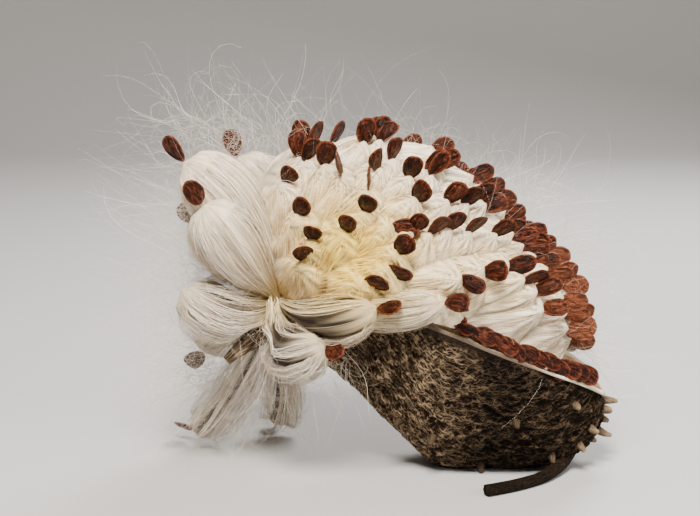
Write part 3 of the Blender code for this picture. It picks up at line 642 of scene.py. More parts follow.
def floss_paint():
    """Silk: white crests, painted shade from tan to near black in the creases, and fine streaks that follow
    the combed hairs.
    """
    paint = Paint("floss_silk", 0.55)
    flow = paint.attribute("flow", "Vector")
    streak = paint.noise(paint.mapped(flow, (1.0, 0.09, 1.0)), 2.2, 4.0, 0.6)
    fine = paint.noise(paint.mapped(flow, (1.0, 0.05, 1.0)), 7.0, 2.0, 0.6)
    white = paint.ramp(
        streak,
        (0.34, (0.50, 0.38, 0.25)),
        (0.5, (0.93, 0.80, 0.64)),
        (0.66, (1.0, 0.89, 0.77)),
    )
    warm = paint.mix(paint.attribute("warmth"), white, YELLOW, "MULTIPLY")
    # Painted shade: tan to near black where the floss creases and in the open cores of the tufts.
    painted_shade = paint.attribute("painted_shade")
    shade_colour = paint.ramp(painted_shade, (0.65, (0.20, 0.15, 0.10)), (0.9, (0.03, 0.022, 0.015)))
    paint.colour(paint.mix(painted_shade, warm, shade_colour))
    paint.shader.inputs["Specular IOR Level"].default_value = 0.25
    paint.shader.inputs["Subsurface Weight"].default_value = 0.12
    paint.shader.inputs["Subsurface Radius"].default_value = (1.0, 0.8, 0.55)
    paint.shader.inputs["Subsurface Scale"].default_value = 1.2 * MM
    paint.bump(paint.math("ADD", streak, paint.math("MULTIPLY", fine, 0.5)), 0.8, 0.4)
    return paint.material


def hair_paint(name, *stops):
    """Single hairs: each of its own shade, warmer where the floss is deep, and glossier than the mass."""
    paint = Paint(name, 0.36)
    tint = paint.math("MULTIPLY_ADD", paint.attribute("tint"), 0.5, 0.5)
    shade = paint.ramp(tint, *stops)
    paint.colour(paint.mix(paint.attribute("warmth"), shade, YELLOW, "MULTIPLY"))
    paint.shader.inputs["Specular IOR Level"].default_value = 0.3
    return paint.material


def seed_paint():
    """Seed coat: dark wrinkled middle and a lighter, redder raised margin."""
    paint = Paint("seed_coat", 0.34)
    place = paint.attribute("coat", "Vector")
    wrinkle = paint.noise(paint.mapped(place, (0.35, 1.1, 1.0)), 1.15, 3.0, 0.6, 1.1)
    middle = paint.ramp(
        wrinkle,
        (0.36, (0.004, 0.0007, 0.0003)),
        (0.50, (0.021, 0.0034, 0.0011)),
        (0.64, (0.095, 0.019, 0.006)),
    )
    margin = paint.ramp(wrinkle, (0.35, (0.05, 0.009, 0.003)), (0.65, (0.17, 0.040, 0.013)))
    coat = paint.mix(paint.attribute("margin"), middle, margin)
    outer = paint.ramp(wrinkle, (0.34, (0.05, 0.011, 0.004)), (0.64, (0.29, 0.086, 0.034)))
    paint.colour(paint.mix(paint.attribute("tint"), coat, outer))
    paint.shader.inputs["Specular IOR Level"].default_value = 0.14
    paint.bump(wrinkle, 1.0, 0.9)
    return paint.material


def husk_paint():
    """Husk: a net of taupe ridges over pits made nearly black by painted shade, and painted shade that
    darkens it towards the blunt end.
    """
    paint = Paint("husk_bark", 0.85)
    relief = paint.attribute("relief")
    strip = paint.attribute("strip")
    flat = paint.attribute("flat", "Vector")
    bent = paint.warped(flat, 0.33, 2.6)
    net = paint.cracks(paint.mapped(bent, (0.27, 0.80, 1.0)))
    small = paint.cracks(paint.mapped(bent, (0.62, 1.55, 1.0)))
    fibre = paint.noise(paint.mapped(flat, (0.5, 3.2, 1.0)), 1.6, 4.0, 0.7)
    ridge = paint.ramp(net, (0.02, WHITE), (0.14, (0.22, 0.22, 0.22)), (0.36, BLACK))
    ridge_small = paint.ramp(small, (0.02, (0.75, 0.75, 0.75)), (0.2, BLACK))
    height = paint.math("MAXIMUM", ridge, ridge_small)
    # Low relief, in the gaps of the husk and the grooves of the beak, darkens the colour as painted shade and
    # flattens the bump.
    height = paint.math("MULTIPLY", height, paint.math("ADD", relief, 0.35))
    height = paint.math("MULTIPLY", height, paint.math("ADD", paint.math("MULTIPLY", fibre, 0.9), 0.5))
    smooth = paint.ramp(fibre, (0.35, (0.05, 0.05, 0.05)), (0.65, (0.5, 0.5, 0.5)))
    height = paint.mix(strip, height, smooth)
    # The ridges' taupe is the husk's own colour; the near black of the pits is painted shade.
    colour = paint.ramp(
        height,
        (0.0, (0.008, 0.005, 0.003)),
        (0.22, (0.036, 0.022, 0.013)),
        (0.5, (0.17, 0.115, 0.068)),
        (0.9, (0.58, 0.42, 0.27)),
    )
    patches = paint.noise(paint.place(), 120.0, 3.0)
    shades = paint.ramp(patches, (0.35, (0.55, 0.5, 0.45)), (0.65, (1.0, 0.97, 0.92)))
    colour = paint.mix(0.6, colour, shades, "MULTIPLY")
    # Painted light and shade: full colour towards the beak, darkest over the middle and dark at the blunt
    # end.
    along = paint.add("ShaderNodeTexGradient", "Fac", {"Vector": paint.mapped(flat, (0.011, 1.0, 1.0))})
    painted_light_along = paint.ramp(along, (0.12, (0.24, 0.22, 0.20)), (0.43, (0.15, 0.138, 0.125)), (0.66, WHITE))
    paint.colour(paint.mix(1.0, colour, painted_light_along, "MULTIPLY"))
    paint.shader.inputs["Specular IOR Level"].default_value = 0.08
    paint.bump(height, 1.0, 1.0)
    return paint.material


def lip_paint():
    """The torn rim of the husk: tan on top, cream where it curls over at the blunt end."""
    paint = Paint("husk_lip", 0.6)
    ribs = paint.noise(paint.mapped(paint.attribute("flat", "Vector"), (0.5, 3.0, 1.0)), 1.8, 3.0)
    dark = paint.ramp(ribs, (0.35, (0.02, 0.012, 0.007)), (0.65, (0.10, 0.062, 0.034)))
    tan = paint.ramp(ribs, (0.3, (0.42, 0.27, 0.12)), (0.7, (0.75, 0.56, 0.31)))
    cream = paint.ramp(ribs, (0.3, (0.55, 0.45, 0.30)), (0.7, (0.90, 0.82, 0.66)))
    top = paint.mix(paint.attribute("curl"), tan, cream)
    paint.colour(paint.mix(paint.attribute("top"), dark, top))
    paint.bump(ribs, 0.5, 0.3)
    return paint.material


def ribbed_paint(name, roughness, squash, scale, dark, light, strength, distance):
    """A plain papery skin with faint ribs along the pod."""
    paint = Paint(name, roughness)
    ribs = paint.noise(paint.mapped(paint.place(), (squash, 1.0, 1.0)), scale, 3.0)
    paint.colour(paint.ramp(ribs, (0.3, dark), (0.7, light)))
    paint.bump(ribs, strength, distance)
    return paint.material


def spine_paint():
    """Soft spines: brown at the foot and pale tan at the tip."""
    paint = Paint("husk_spines", 0.7)
    ribs = paint.noise(paint.mapped(paint.attribute("flat", "Vector"), (0.6, 2.5, 1.0)), 1.5, 3.0)
    foot = paint.ramp(ribs, (0.35, (0.014, 0.009, 0.005)), (0.65, (0.06, 0.038, 0.021)))
    tip = paint.ramp(ribs, (0.35, (0.13, 0.085, 0.048)), (0.65, (0.34, 0.24, 0.145)))
    paint.colour(paint.mix(paint.attribute("height"), foot, tip))
    paint.shader.inputs["Specular IOR Level"].default_value = 0.1
    paint.bump(ribs, 0.5, 0.3)
    return paint.material


# Husk

OUTER_ROWS, OUTER_COLUMNS = 200, 200
INNER_ROWS, INNER_COLUMNS = 60, 48
RELIEF_HEIGHT = 1.2
WORM_LENGTH, WORM_WIDTH = 4.4, 1.15
STRIP_FROM, STRIP_TO = 0.975, 0.996  # the smooth strip under the rim, as shares of the way round
RIM_CROWN = 1.1
CURL_FROM, CURL_TO = 10.0, 20.0  # where the rim starts to curl over, along the pod
CURL_REACH = 1.1
CURL_END = (34.0, 31.0)  # and where it dies away at the tip
# Across the rim from the outside in: share of the outer edge, of the crown and of the curl, and how
# tan it is where it is plain and where it curls.
RIM_PROFILE = (
    (1.0, 0.0, 0.0, 0.0, 0.0),
    (0.95, 0.25, 1.0, 0.0, 0.5),
    (0.75, 0.75, 0.8, 0.05, 1.0),
    (0.4, 1.0, 0.2, 0.45, 1.0),
    (0.1, 0.8, 0.0, 0.8, 1.0),
    (0.0, 0.0, 0.0, 0.9, 1.0),
)
BLUNT_TIP = 1.1  # radius of the end of the beak
HUSK_HEART = Vector((0.0, 0.0, 12.0))  # from the keel to a point that is well inside
HUSK_FLOOR, THIN_FLOOR = 0.05, 0.03  # the lowest that the husk and its thin outgrowths reach


def worm_relief(along, around):
    """Relief of the shaggy husk, from 0 in the gaps to 1 on the crests, by millimetres over it."""
    warp = at(along / 7.0, around / 5.0)
    bend = 2.4 * noise(warp, 21)
    shift = 1.5 * noise(warp * 2.1, 22)
    crests = np.zeros_like(along)
    for layer, slant in enumerate((0.25, -0.32, 0.05)):
        across = (around + bend + slant * along) / WORM_WIDTH
        value = noise(at((along + shift) / WORM_LENGTH, across, 7.7 * layer), 31 + layer)
        crest = np.clip(1 - np.abs(value) / 0.26, 0.0, 1.0) ** 0.8
        crests = np.maximum(crests, crest * (1.0 - 0.12 * layer))
    lumps = 0.5 + 0.5 * noise(at(along / 2.6, around / 1.4), 41)
    return crests * (0.55 + 0.45 * lumps)


def husk_outer_grid():
    """Points of the outside of the husk, with their relief, place over the surface and strip share."""
    shares = np.linspace(0.004, 0.996, OUTER_ROWS)
    across = np.linspace(-1.0, 1.0, OUTER_COLUMNS)
    grid = np.array([[husk_point(s, a) for a in across] for s in shares])
    down = np.gradient(grid, axis=0)
    over = np.gradient(grid, axis=1)
    out = unit(np.cross(over, down))
    middle = np.array([husk_point(s, 0.0) + HUSK_HEART for s in shares])[:, None]
    out = out * np.sign(np.sum(out * (grid - middle), axis=-1, keepdims=True))
    keel = OUTER_COLUMNS // 2
    along = np.cumsum(np.linalg.norm(down[:, keel], axis=-1))
    around = np.cumsum(np.linalg.norm(over, axis=-1), axis=1)
    around -= around[:, keel : keel + 1]
    along = np.broadcast_to(along[:, None], around.shape)
    relief = worm_relief(along, around)
    wavy = np.abs(across)[None, :] + 0.02 * noise(at(along / 5.0, 0.0), 42)
    strip = smoothstep(STRIP_FROM, STRIP_TO, wavy)
    half = np.array([smooth_through(HUSK_STATIONS, s)[3] for s in shares])[:, None]
    rise = (relief - 0.25) * RELIEF_HEIGHT * (1 - 0.75 * strip) * np.clip(half / 9.0, 0.15, 1.0)
    rise *= smoothstep(1.0, 0.97, np.abs(across))[None, :]
    points = above_floor(grid + out * rise[..., None], HUSK_FLOOR)
    return points, relief, at(along, around), strip


def bark_attributes(relief, flat, strip):
    return [("relief", relief), ("flat", flat), ("strip", strip)]


def make_rim(outer, flat, lip):
    """The torn rim, bevelled so that its tan top shows, and curled over at the blunt end."""
    keep, rise, reach, plain, cream = np.array(RIM_PROFILE).T[..., None]
    width = len(RIM_PROFILE)
    inside = 0.5 + (np.linspace(0.0, 1.0, OUTER_ROWS) - 0.5) * INNER_SHARE
    points, looks = [], []
    for column, side in ((0, -1.0), (-1, 1.0)):
        edge = outer[:, column]
        x = edge[:, 0]
        inner = np.array([husk_point(s, side, WALL) for s in inside])
        curled = smoothstep(CURL_FROM, CURL_TO, x) * smoothstep(*CURL_END, x)
        wave = noise(at(x / 3.0, side), 43)
        crown = RIM_CROWN * (1 + 0.3 * wave) * smoothstep(0.0, 4.0, x + 51.0)
        outwards = CURL_REACH * curled * (1 + 0.4 * wave)
        rows = edge[:, None] * keep + inner[:, None] * (1 - keep)
        rows[..., 1] += side * outwards[:, None] * reach[:, 0]
        rows[..., 2] += crown[:, None] * rise[:, 0]
        points.append(rows.reshape(-1, 3))
        places = flat[:, column][:, None] + at(0.0, 0.5 * np.arange(width))
        top = plain + (cream - plain) * curled
        looks.append((places.reshape(-1, 3), top.T.ravel(), np.repeat(curled, width)))
    faces = grid_faces(OUTER_ROWS, width)
    points, faces = joined([(half, faces) for half in points])
    piece("husk_rim", points, faces, lip, gathered(("flat", "top", "curl"), looks))


def make_husk_shell(bark, lining, lip):
    """The open boat of the husk: shaggy outside, smooth lining, and the rim between them."""
    outer, relief, flat, strip = husk_outer_grid()
    attributes = bark_attributes(relief.ravel(), flat.reshape(-1, 3), strip.ravel())
    faces = grid_faces(*outer.shape[:2])
    thing = piece("husk_outside", outer.reshape(-1, 3), faces, bark, attributes)
    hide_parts("husk")
    inside = 0.5 + (np.linspace(0.0, 1.0, INNER_ROWS) - 0.5) * INNER_SHARE
    across = np.linspace(-1.0, 1.0, INNER_COLUMNS)
    inner = np.array([[husk_point(s, a, WALL) for a in across] for s in inside])
    piece("husk_inside", inner.reshape(-1, 3), grid_faces(*inner.shape[:2]), lining)
    make_rim(outer, flat, lip)


def rod(path, radii, sides, rings, detail=None):
    """Points, faces and (share, turn) of a fine closed rod along a smooth path."""
    shares = np.linspace(0.0, 1.0, rings)
    spine = np.array([smooth_through(path, s) for s in shares])
    width = np.array([smooth_through([(r,) for r in radii], s)[0] for s in shares])
    side, up = curve_frames(spine)
    turns = np.linspace(0.0, 2 * math.pi, sides, endpoint=False)
    share, turn = np.meshgrid(shares, turns, indexing="ij")
    reach = width[:, None] * (1.0 if detail is None else detail(share, turn))
    ways = side[:, None] * np.cos(turn)[..., None] + up[:, None] * np.sin(turn)[..., None]
    points = (spine[:, None] + ways * reach[..., None]).reshape(-1, 3)
    return points, tube_faces(rings, sides, flipped=True), share.ravel(), turn.ravel()


def ring_noise(share, turn, length, seed):
    """Noise over a rod, the same where its turns meet."""
    return noise(at(share * length, np.cos(turn) * 2, np.sin(turn) * 2), seed)


def beak_folds(share, turn):
    """Folds along the beak, from 0 in the grooves to 1 on the ridges."""
    bend = 2.0 * ring_noise(share, turn, 4, 51)
    return np.abs(np.cos(turn * 3 + bend + 1.5 * share)) ** 0.7


def beak_ridges(share, turn):
    return 0.88 + 0.2 * beak_folds(share, turn) + 0.1 * ring_noise(share, turn, 12, 52)


def make_beak(bark):
    """The ridged, tapering beak."""
    radii = (*BEAK_RADII[:-1], BLUNT_TIP)
    points, faces, share, turn = rod(BEAK_PATH, radii, 64, 70, beak_ridges)
    flat = at(60.0 + share * 6.0, np.abs(turn - math.pi) * 4.6)
    attributes = bark_attributes(beak_folds(share, turn), flat, np.full(len(share), 0.2))
    piece("husk_beak", points, faces, bark, attributes)


def make_stalk(bark):
    """The short stub of stalk that the pod was picked with."""
    def ribs(share, turn):
        return 1 + 0.05 * np.cos(turn * 7 + share * 5)

    points, faces, share, turn = rod(STALK_PATH, STALK_RADII, 28, 50, ribs)
    flat = at(share * 36.0, np.abs(turn - math.pi) * 1.5)
    relief = 0.75 + 0.15 * np.cos(turn * 7)
    attributes = bark_attributes(relief, flat, np.full(len(relief), 0.8))
    piece("husk_stalk", above_floor(points, THIN_FLOOR), faces, bark, attributes)


def husk_way_out(share, across):
    """A point of the husk and the outward normal there."""
    step = 1e-3
    here = husk_point(share, across)
    along = husk_point(min(share + step, 1.0), across) - husk_point(max(share - step, 0.0), across)
    round_ring = husk_point(share, min(across + step, 1.0)) - husk_point(share, max(across - step, -1.0))
    out = along.cross(round_ring).normalized()
    return here, out if out.dot(here - husk_point(share, 0.0) - HUSK_HEART) > 0 else -out


def make_spines(paper):
    """Soft finger-like spines, closest together at the blunt end."""
    draw = random.Random(DRAW_SEED)
    radii = [SPINE_RADIUS * share for share in (1.35, 0.9, 0.45)]
    parts, flat = [], []
    for k in range(SPINE_COUNT):
        share = 0.035 + 0.75 * (k / SPINE_COUNT) ** 1.7
        across = (0.93 - 0.1 * draw.random()) * (2 * ((k * 0.618) % 1.0) - 1)
        if abs(across) < 0.22 and share > 0.15:
            across += math.copysign(0.3, across)
        foot, out = husk_way_out(share, across)
        length = SPINE_LENGTH * (0.75 + 0.5 * draw.random()) * (1.0 - 0.35 * share)
        lean = (-0.35 + 0.5 * draw.random(), 0.5 * (draw.random() - 0.5), 0.5 * (draw.random() - 0.5))
        tip = foot + out * 0.85 * length + Vector(lean) * 0.5 * length
        made, sides, up, turn = rod([foot - out * 1.0, foot + out * 0.45 * length, tip], radii, 10, 12)
        parts.append((made, sides))
        flat.append(at(up * 4 + k, np.abs(turn - math.pi), up))
    points, faces = joined(parts)
    flat = np.concatenate(flat)
    height = flat[:, 2] * (0.08 + 0.92 * smoothstep(16.0, 30.0, points[:, 0]))
    attributes = [("flat", flat), ("height", height)]
    piece("husk_spines", above_floor(points, THIN_FLOOR), faces, paper, attributes)


def make_placenta(paper):
    """The papery column inside, with lengthwise ribs."""
    def ribs(share, turn):
        rough = noise(at(share * 20, turn * 2), 61)
        return 1 + 0.06 * np.cos(turn * 8 + 3 * share) + 0.04 * rough

    points, faces, _, _ = rod(PLACENTA_PATH, PLACENTA_RADII, 32, 70, ribs)
    thing = piece("placenta_column", points, faces, paper)
    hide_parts("placenta")


# Floss

FINE_ANGLES, COARSE_ANGLES = 310, 34
FINE_FROM, FINE_TO = -42.0, 222.0
DOME_RINGS = 62
TENT_HEIGHT, TENT_REACH = 2.6, 3.2
PILLOW_HEIGHT, PILLOW_REACH = 1.5, 14.0
CREASE_WIDTH = 1.7
PLEATS = 11
PLEAT_HEIGHT, PLEAT_REACH = 0.24, 13.0
BEHIND, AHEAD = 1.7, 0.62  # a tent ends soon behind its seed and runs on towards the knot
RIM_MARGIN = 2.0
LINING_GAP = 0.8
TUFT_RINGS, TUFT_TURNS = 44, 48
# For each tuft, from 0 where its hairs lie close to 1 where gaps show between them, its core shrunken and
# given painted shade.
TUFT_OPENNESS = (0.1, 0.3, 0.85, 1.0, 1.0, 0.6, 1.0, 1.0, 0.3, 0.4, 0.8, 0.6, 0.5)
# For each tuft, how far its hairs fall in from its outside.
TUFT_LOOSENESS = (0.0, 0.0, 0.1, 0.15, 0.1, 0.05, 0.7, 0.7, 0.1, 0.1, 0.6, 0.2, 0.1)
OPEN_SHRINKING = 0.3
LOOSE_SHRINKING = 0.6
BEAK_SHOWS_FROM = 0.42
BEAK_CLEAR = 3.3
TUFT_FLOOR = 0.05  # the lowest that the loosened tufts reach
# Where the floss is yellow: (middle, spread, how much).
WARM_PLACES = (
    ((-31.0, -22.0, 58.0), (19.0, 22.0, 17.0), 1.0),
    ((-49.0, -10.0, 45.0), (9.0, 12.0, 9.0), 0.55),
    ((-5.0, -20.0, 52.0), (22.0, 20.0, 12.0), 0.4),
)
LEAST_WARMTH = 0.12


class Tents:
    """The peaks of floss under the seeds, which shape and comb the dome."""

    def __init__(self, dome):
        self.peaks = np.array([place for place, _, _ in dome])
        self.out = np.array([out for _, out, _ in dome])
        self.feet = np.array(DOME_MIDDLE) + (self.peaks - DOME_MIDDLE) * CORE_SHARE
        to_knot = np.array(KNOT) - self.feet
        to_knot -= self.out * np.sum(to_knot * self.out, axis=1, keepdims=True)
        self.way = unit(to_knot)
        self.side = np.cross(self.out, self.way)

    def nearest(self, points):
        """For each point: its peak, distance to it, how much nearer than the next, and place about it."""
        found = []
        for block in np.array_split(points, max(1, len(points) // 4000)):
            gap = block[:, None, :] - self.feet[None]
            ahead = np.einsum("nkj,kj->nk", gap, self.way)
            beside = np.einsum("nkj,kj->nk", gap, self.side)
            off = np.einsum("nkj,kj->nk", gap, self.out)
            stretched = np.where(ahead > 0, ahead * AHEAD, ahead * BEHIND)
            far = np.sqrt(stretched**2 + beside**2 + 0.8 * off**2)
            order = np.argpartition(far, 1, axis=1)[:, :2]
            rows = np.arange(len(block))
            pair = far[rows[:, None], order]
            best = np.where(pair[:, 0] <= pair[:, 1], order[:, 0], order[:, 1])
            f1, f2 = pair.min(axis=1), pair.max(axis=1)
            found.append(np.stack([best, f1, f2 - f1, ahead[rows, best], beside[rows, best]], -1))
        found = np.concatenate(found)
        return found[:, 0].astype(int), found[:, 1], found[:, 2], found[:, 3], found[:, 4]


def dome_grid():
    """A closed grid over the whole dome, finer where it shows."""
    fine = np.linspace(FINE_FROM, FINE_TO, FINE_ANGLES, endpoint=False)
    coarse = np.linspace(FINE_TO, FINE_FROM + 360.0, COARSE_ANGLES, endpoint=False)
    angles = np.radians(np.concatenate([fine, coarse]))
    turns = np.linspace(0.03, math.pi - 0.03, 2 * DOME_RINGS + 1)
    rows = []
    for turn in turns:
        share = math.sin(turn)
        side = -1 if turn < math.pi / 2 else 1
        rows.append([dome_point(share, angle, side, CORE_SHARE) for angle in angles])
    return np.array(rows)


def inside_husk(points):
    """The same points, drawn in so that below the rim they stay inside the husk's wall."""
    xs, keels, rims, halves = (np.array(column) for column in zip(*reversed(HUSK_STATIONS)))
    keel, rim, half = (np.interp(points[:, 0], xs, column) for column in (keels, rims, halves))
    depth = np.clip((rim + RIM_MARGIN - points[:, 2]) / np.maximum(rim + RIM_MARGIN - keel, 1.0), 0.0, 1.0)
    room = np.maximum(half - WALL - LINING_GAP, 0.5) * np.sqrt(np.clip(1 - depth**2, 0.0, 1.0))
    below = points[:, 2] < rim + RIM_MARGIN
    drawn = np.sign(points[:, 1]) * np.minimum(np.abs(points[:, 1]), room)
    points = points.copy()
    points[:, 1] = np.where(below, drawn, points[:, 1])
    return points


def grid_normals(grid, middle):
    """Unit normals of a grid that meets itself, pointing away from the middle."""
    over = np.roll(grid, -1, axis=1) - np.roll(grid, 1, axis=1)
    down = np.gradient(grid, axis=0)
    out = unit(np.cross(over, down))
    facing = np.sign(np.sum(out * (grid - middle), axis=-1, keepdims=True))
    return out * np.where(facing == 0, 1.0, facing)


def make_dome(tents, silk):
    """The dome of floss: a tent under each seed, pillows between, and pleats that run from the pinch."""
    grid = dome_grid()
    out = grid_normals(grid, np.array(DOME_MIDDLE)).reshape(-1, 3)
    points = grid.reshape(-1, 3)
    which, near, margin, ahead, beside = tents.nearest(points)
    azimuth = np.arctan2(beside, ahead)
    distance = np.hypot(ahead, beside)
    tent = TENT_HEIGHT * np.exp(-near / TENT_REACH)
    open_lobe = 1 - np.exp(-((margin / CREASE_WIDTH) ** 1.3))
    pillow = PILLOW_HEIGHT * open_lobe * np.exp(-((near / PILLOW_REACH) ** 2))
    phase = which * 2.399
    wander = 1.6 * noise(at(azimuth * 1.5, distance / 6.0, phase), 71)
    pleats = np.cos(azimuth * PLEATS + phase + wander) * np.exp(-((distance / PLEAT_REACH) ** 2))
    pleats *= smoothstep(0.3, 2.5, distance)
    soft = 0.5 * noise(points / 6.0, 72)
    rise = tent + pillow + PLEAT_HEIGHT * pleats + soft
    rise *= smoothstep(20.0, 40.0, points[:, 2])
    # Painted shade: darker along the borders between tents and in the pleats' valleys near each pinch.
    painted_shade = np.exp(-margin / 0.6) * smoothstep(1.0, 4.0, near) * 0.75
    pinched = np.exp(-((distance / 6.0) ** 2)) * smoothstep(-3.0, 1.0, ahead)
    painted_shade = np.maximum(painted_shade, (0.3 + 0.5 * pinched) * np.clip(-pleats * 1.6, 0.0, 1.0))
    flow = at(azimuth * np.clip(distance, 3.0, 14.0), distance, phase * 3.0)
    shaped = inside_husk(points + out * rise[:, None])
    faces = tube_faces(*grid.shape[:2])
    attributes = [("flow", flow), ("painted_shade", painted_shade), ("warmth", warmth(shaped))]
    thing = piece("floss_dome", shaped, faces, silk, attributes)
    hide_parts("floss")
    return shaped, faces


def warmth(points):
    """How yellow the floss is: most near the middle of the front and at the knot."""
    total = np.full(len(points), LEAST_WARMTH)
    for middle, spread, most in WARM_PLACES:
        gap = (points - np.array(middle)) / np.array(spread)
        total = np.maximum(total, most * np.exp(-np.sum(gap**2, axis=1)))
    return total


def tuft_surface(index):
    """Grid of a tuft's outside and its (share, turn): a pinched, pleated, swollen lobe."""
    tip, sag, radius, _ = TUFTS[index]
    shares = np.linspace(0.0, 0.99, TUFT_RINGS)
    path = np.array(bent_path(tip, KNOT, sag, TUFT_RINGS))
    width = np.array([tuft_radius(s, radius) for s in shares])
    width[shares < 0.06] *= np.linspace(0.35, 1.0, int(np.sum(shares < 0.06)))
    side, up = curve_frames(path)
    turns = np.linspace(0.0, 2 * math.pi, TUFT_TURNS, endpoint=False)
    share, turn = np.meshgrid(shares, turns, indexing="ij")
    wander = noise(at(np.cos(turn) * 1.6, np.sin(turn) * 1.6, share * 2.2 + index * 3.1), 81)
    broad = np.cos(turn * 7 + 3.5 * wander + index) * 0.55
    folds = broad + np.cos(turn * 13 - 4.0 * wander + 2 * index) * 0.45
    reach = width[:, None] * (1 + 0.10 * folds * np.sin(math.pi * share) ** 0.3 + 0.12 * wander)
    ways = side[:, None] * np.cos(turn)[..., None] + up[:, None] * np.sin(turn)[..., None]
    grid = above_floor(path[:, None] + ways * reach[..., None], TUFT_FLOOR)
    return grid, share, turn, folds


def make_tufts(silk):
    """The inner mass of the loosened tufts round the split tip, which their own hairs cover."""
    faces = tube_faces(TUFT_RINGS, TUFT_TURNS)
    parts, looks = [], []
    for index, openness in enumerate(TUFT_OPENNESS):
        grid, share, turn, folds = tuft_surface(index)
        heart = grid.mean(axis=1, keepdims=True)
        body = np.sin(math.pi * share)[..., None] ** 0.5
        shrinking = OPEN_SHRINKING * openness + LOOSE_SHRINKING * TUFT_LOOSENESS[index]
        grid = heart + (grid - heart) * (1 - shrinking * body)
        parts.append((grid.reshape(-1, 3), faces))
        flow = at(np.cos(turn) * 9, share * 14 + index * 40, np.sin(turn) * 9)
        # Painted shade: darker in the valleys of the folds and over the middle of open tufts, as if gaps
        # showed between the hairs.
        shade = 0.35 * np.clip(-folds, 0.0, 1.0) + 0.95 * openness * body[..., 0]
        looks.append((flow.reshape(-1, 3), np.clip(shade, 0.0, 1.0).ravel()))
    points, faces = joined(parts)
    points = parted(points)
    attributes = [*gathered(("flow", "painted_shade"), looks), ("warmth", warmth(points))]
    piece("floss_tufts", points, faces, silk, attributes)


def parted(points):
    """The same points, moved aside where they would hide the beak."""
    path = np.array([smooth_through(BEAK_PATH, share) for share in np.linspace(BEAK_SHOWS_FROM, 1.0, 24)])
    away = points[:, None, ::2] - path[None, :, ::2]
    far = np.linalg.norm(away, axis=-1)
    rows, nearest = np.arange(len(points)), np.argmin(far, axis=1)
    close = np.maximum(far[rows, nearest], 0.01)
    hiding = (close < BEAK_CLEAR) & (points[:, 1] < path[nearest, 1] + 2.0)
    reach = np.where(hiding, BEAK_CLEAR / close - 1.0, 0.0)
    points = points.copy()
    points[:, ::2] += away[rows, nearest] * reach[:, None]
    return points


# Hairs

HAIR_POINTS = 8
HAIR_FLOOR, TUFT_HAIR_FLOOR = 0.1, 0.2  # the lowest that free hairs and those of the tufts reach
DOME_HAIRS = 175
DOME_HAIR_LENGTH = (5.0, 17.0)
DOME_HAIR_WIDTH = (0.06, 0.17)
HAIR_LIFT = 0.3
HAIR_DIVE = 0.5  # how deep in the floss the hairs end
KNOT_FRONT, KNOT_BACK = (-49.5, -11.0, 43.5), (-49.0, 9.0, 45.0)
TUFT_HAIRS = 680
OPEN_THINNING = 0.4
TUFT_BUNDLES = 23
BUNDLE_WIDTH = 0.42  # spread of a bundle, in steps round the tuft
TUFT_HAIR_POINTS = 12
TUFT_HAIR_WIDTH = (0.05, 0.15)
CORD_COUNT, CORD_WIDTH = 40, (0.15, 0.45)
CORDS_FROM, CORDS_TO = (-50.2, -12.2, 44.6), (-51.8, -11.0, 37.0)
LOCK_HAIRS, FEW_LOCK_HAIRS, LEAST_LOCK_HAIRS = 40, 14, 5
WISP_POINTS = 10
WISP_RADIUS = (0.012, 0.028)
THICK_WISPS, THICK_WISP_RADIUS = 0.05, (0.035, 0.055)
HIGH_LOCKS = 84.0
LEAST_CORNER = np.array([-99.5, -43.0, 0.4])
GREATEST_CORNER = np.array([51.5, 43.0, 105.5])


def taper(shares, power):
    """How thick a hair is at these shares of its length, as a share of its greatest thickness."""
    return 0.3 + 0.7 * np.sin(math.pi * np.clip(shares, 0.04, 0.96)) ** power


def hair_piece(name, points, paint):
    """One piece of hairs, from their points by hair, place along it and corner."""
    count, length, corners = points.shape[:3]
    faces = np.array(grid_faces(length, corners, wrap=corners > 2))
    faces = (faces + length * corners * np.arange(count)[:, None, None]).reshape(-1, 4).tolist()
    tint = np.repeat(lattice(np.stack([np.arange(count)] * 3, -1), 5), length * corners)
    points = points.reshape(-1, 3)
    piece(name, points, faces, paint, [("tint", tint), ("warmth", warmth(points))])


def ribbons(name, paths, outs, widths, paint):
    """Flat hairs that face outs, one along each path, narrow at both ends."""
    paths, outs = np.asarray(paths, float), np.asarray(outs, float)
    side = unit(np.cross(unit(np.gradient(paths, axis=1)), outs))
    shares = np.linspace(0.0, 1.0, paths.shape[1])
    edge = side * (widths[:, None] * taper(shares, 0.5) / 2)[..., None]
    hair_piece(name, np.stack([paths - edge, paths + edge], axis=2), paint)


def strands(name, paths, radii, paint):
    """Thin three-sided hairs, one along each path, thinner to both ends."""
    along = unit(np.gradient(paths, axis=1))
    mean = unit(along.mean(axis=1))
    guide = unit(np.cross(mean, np.roll(mean, 1, axis=1) + np.array([0.31, -0.17, 0.23])))
    side = unit(np.cross(along, guide[:, None, :]))
    up = np.cross(along, side)
    shares = np.linspace(0.0, 1.0, paths.shape[1])
    reach = (radii[:, None] * taper(0.35 + 0.65 * shares, 0.6))[..., None]
    turns = [2 * math.pi * k / 3 for k in range(3)]
    corners = [paths + (side * math.cos(turn) + up * math.sin(turn)) * reach for turn in turns]
    hair_piece(name, above_floor(np.stack(corners, axis=2), HAIR_FLOOR), paint)


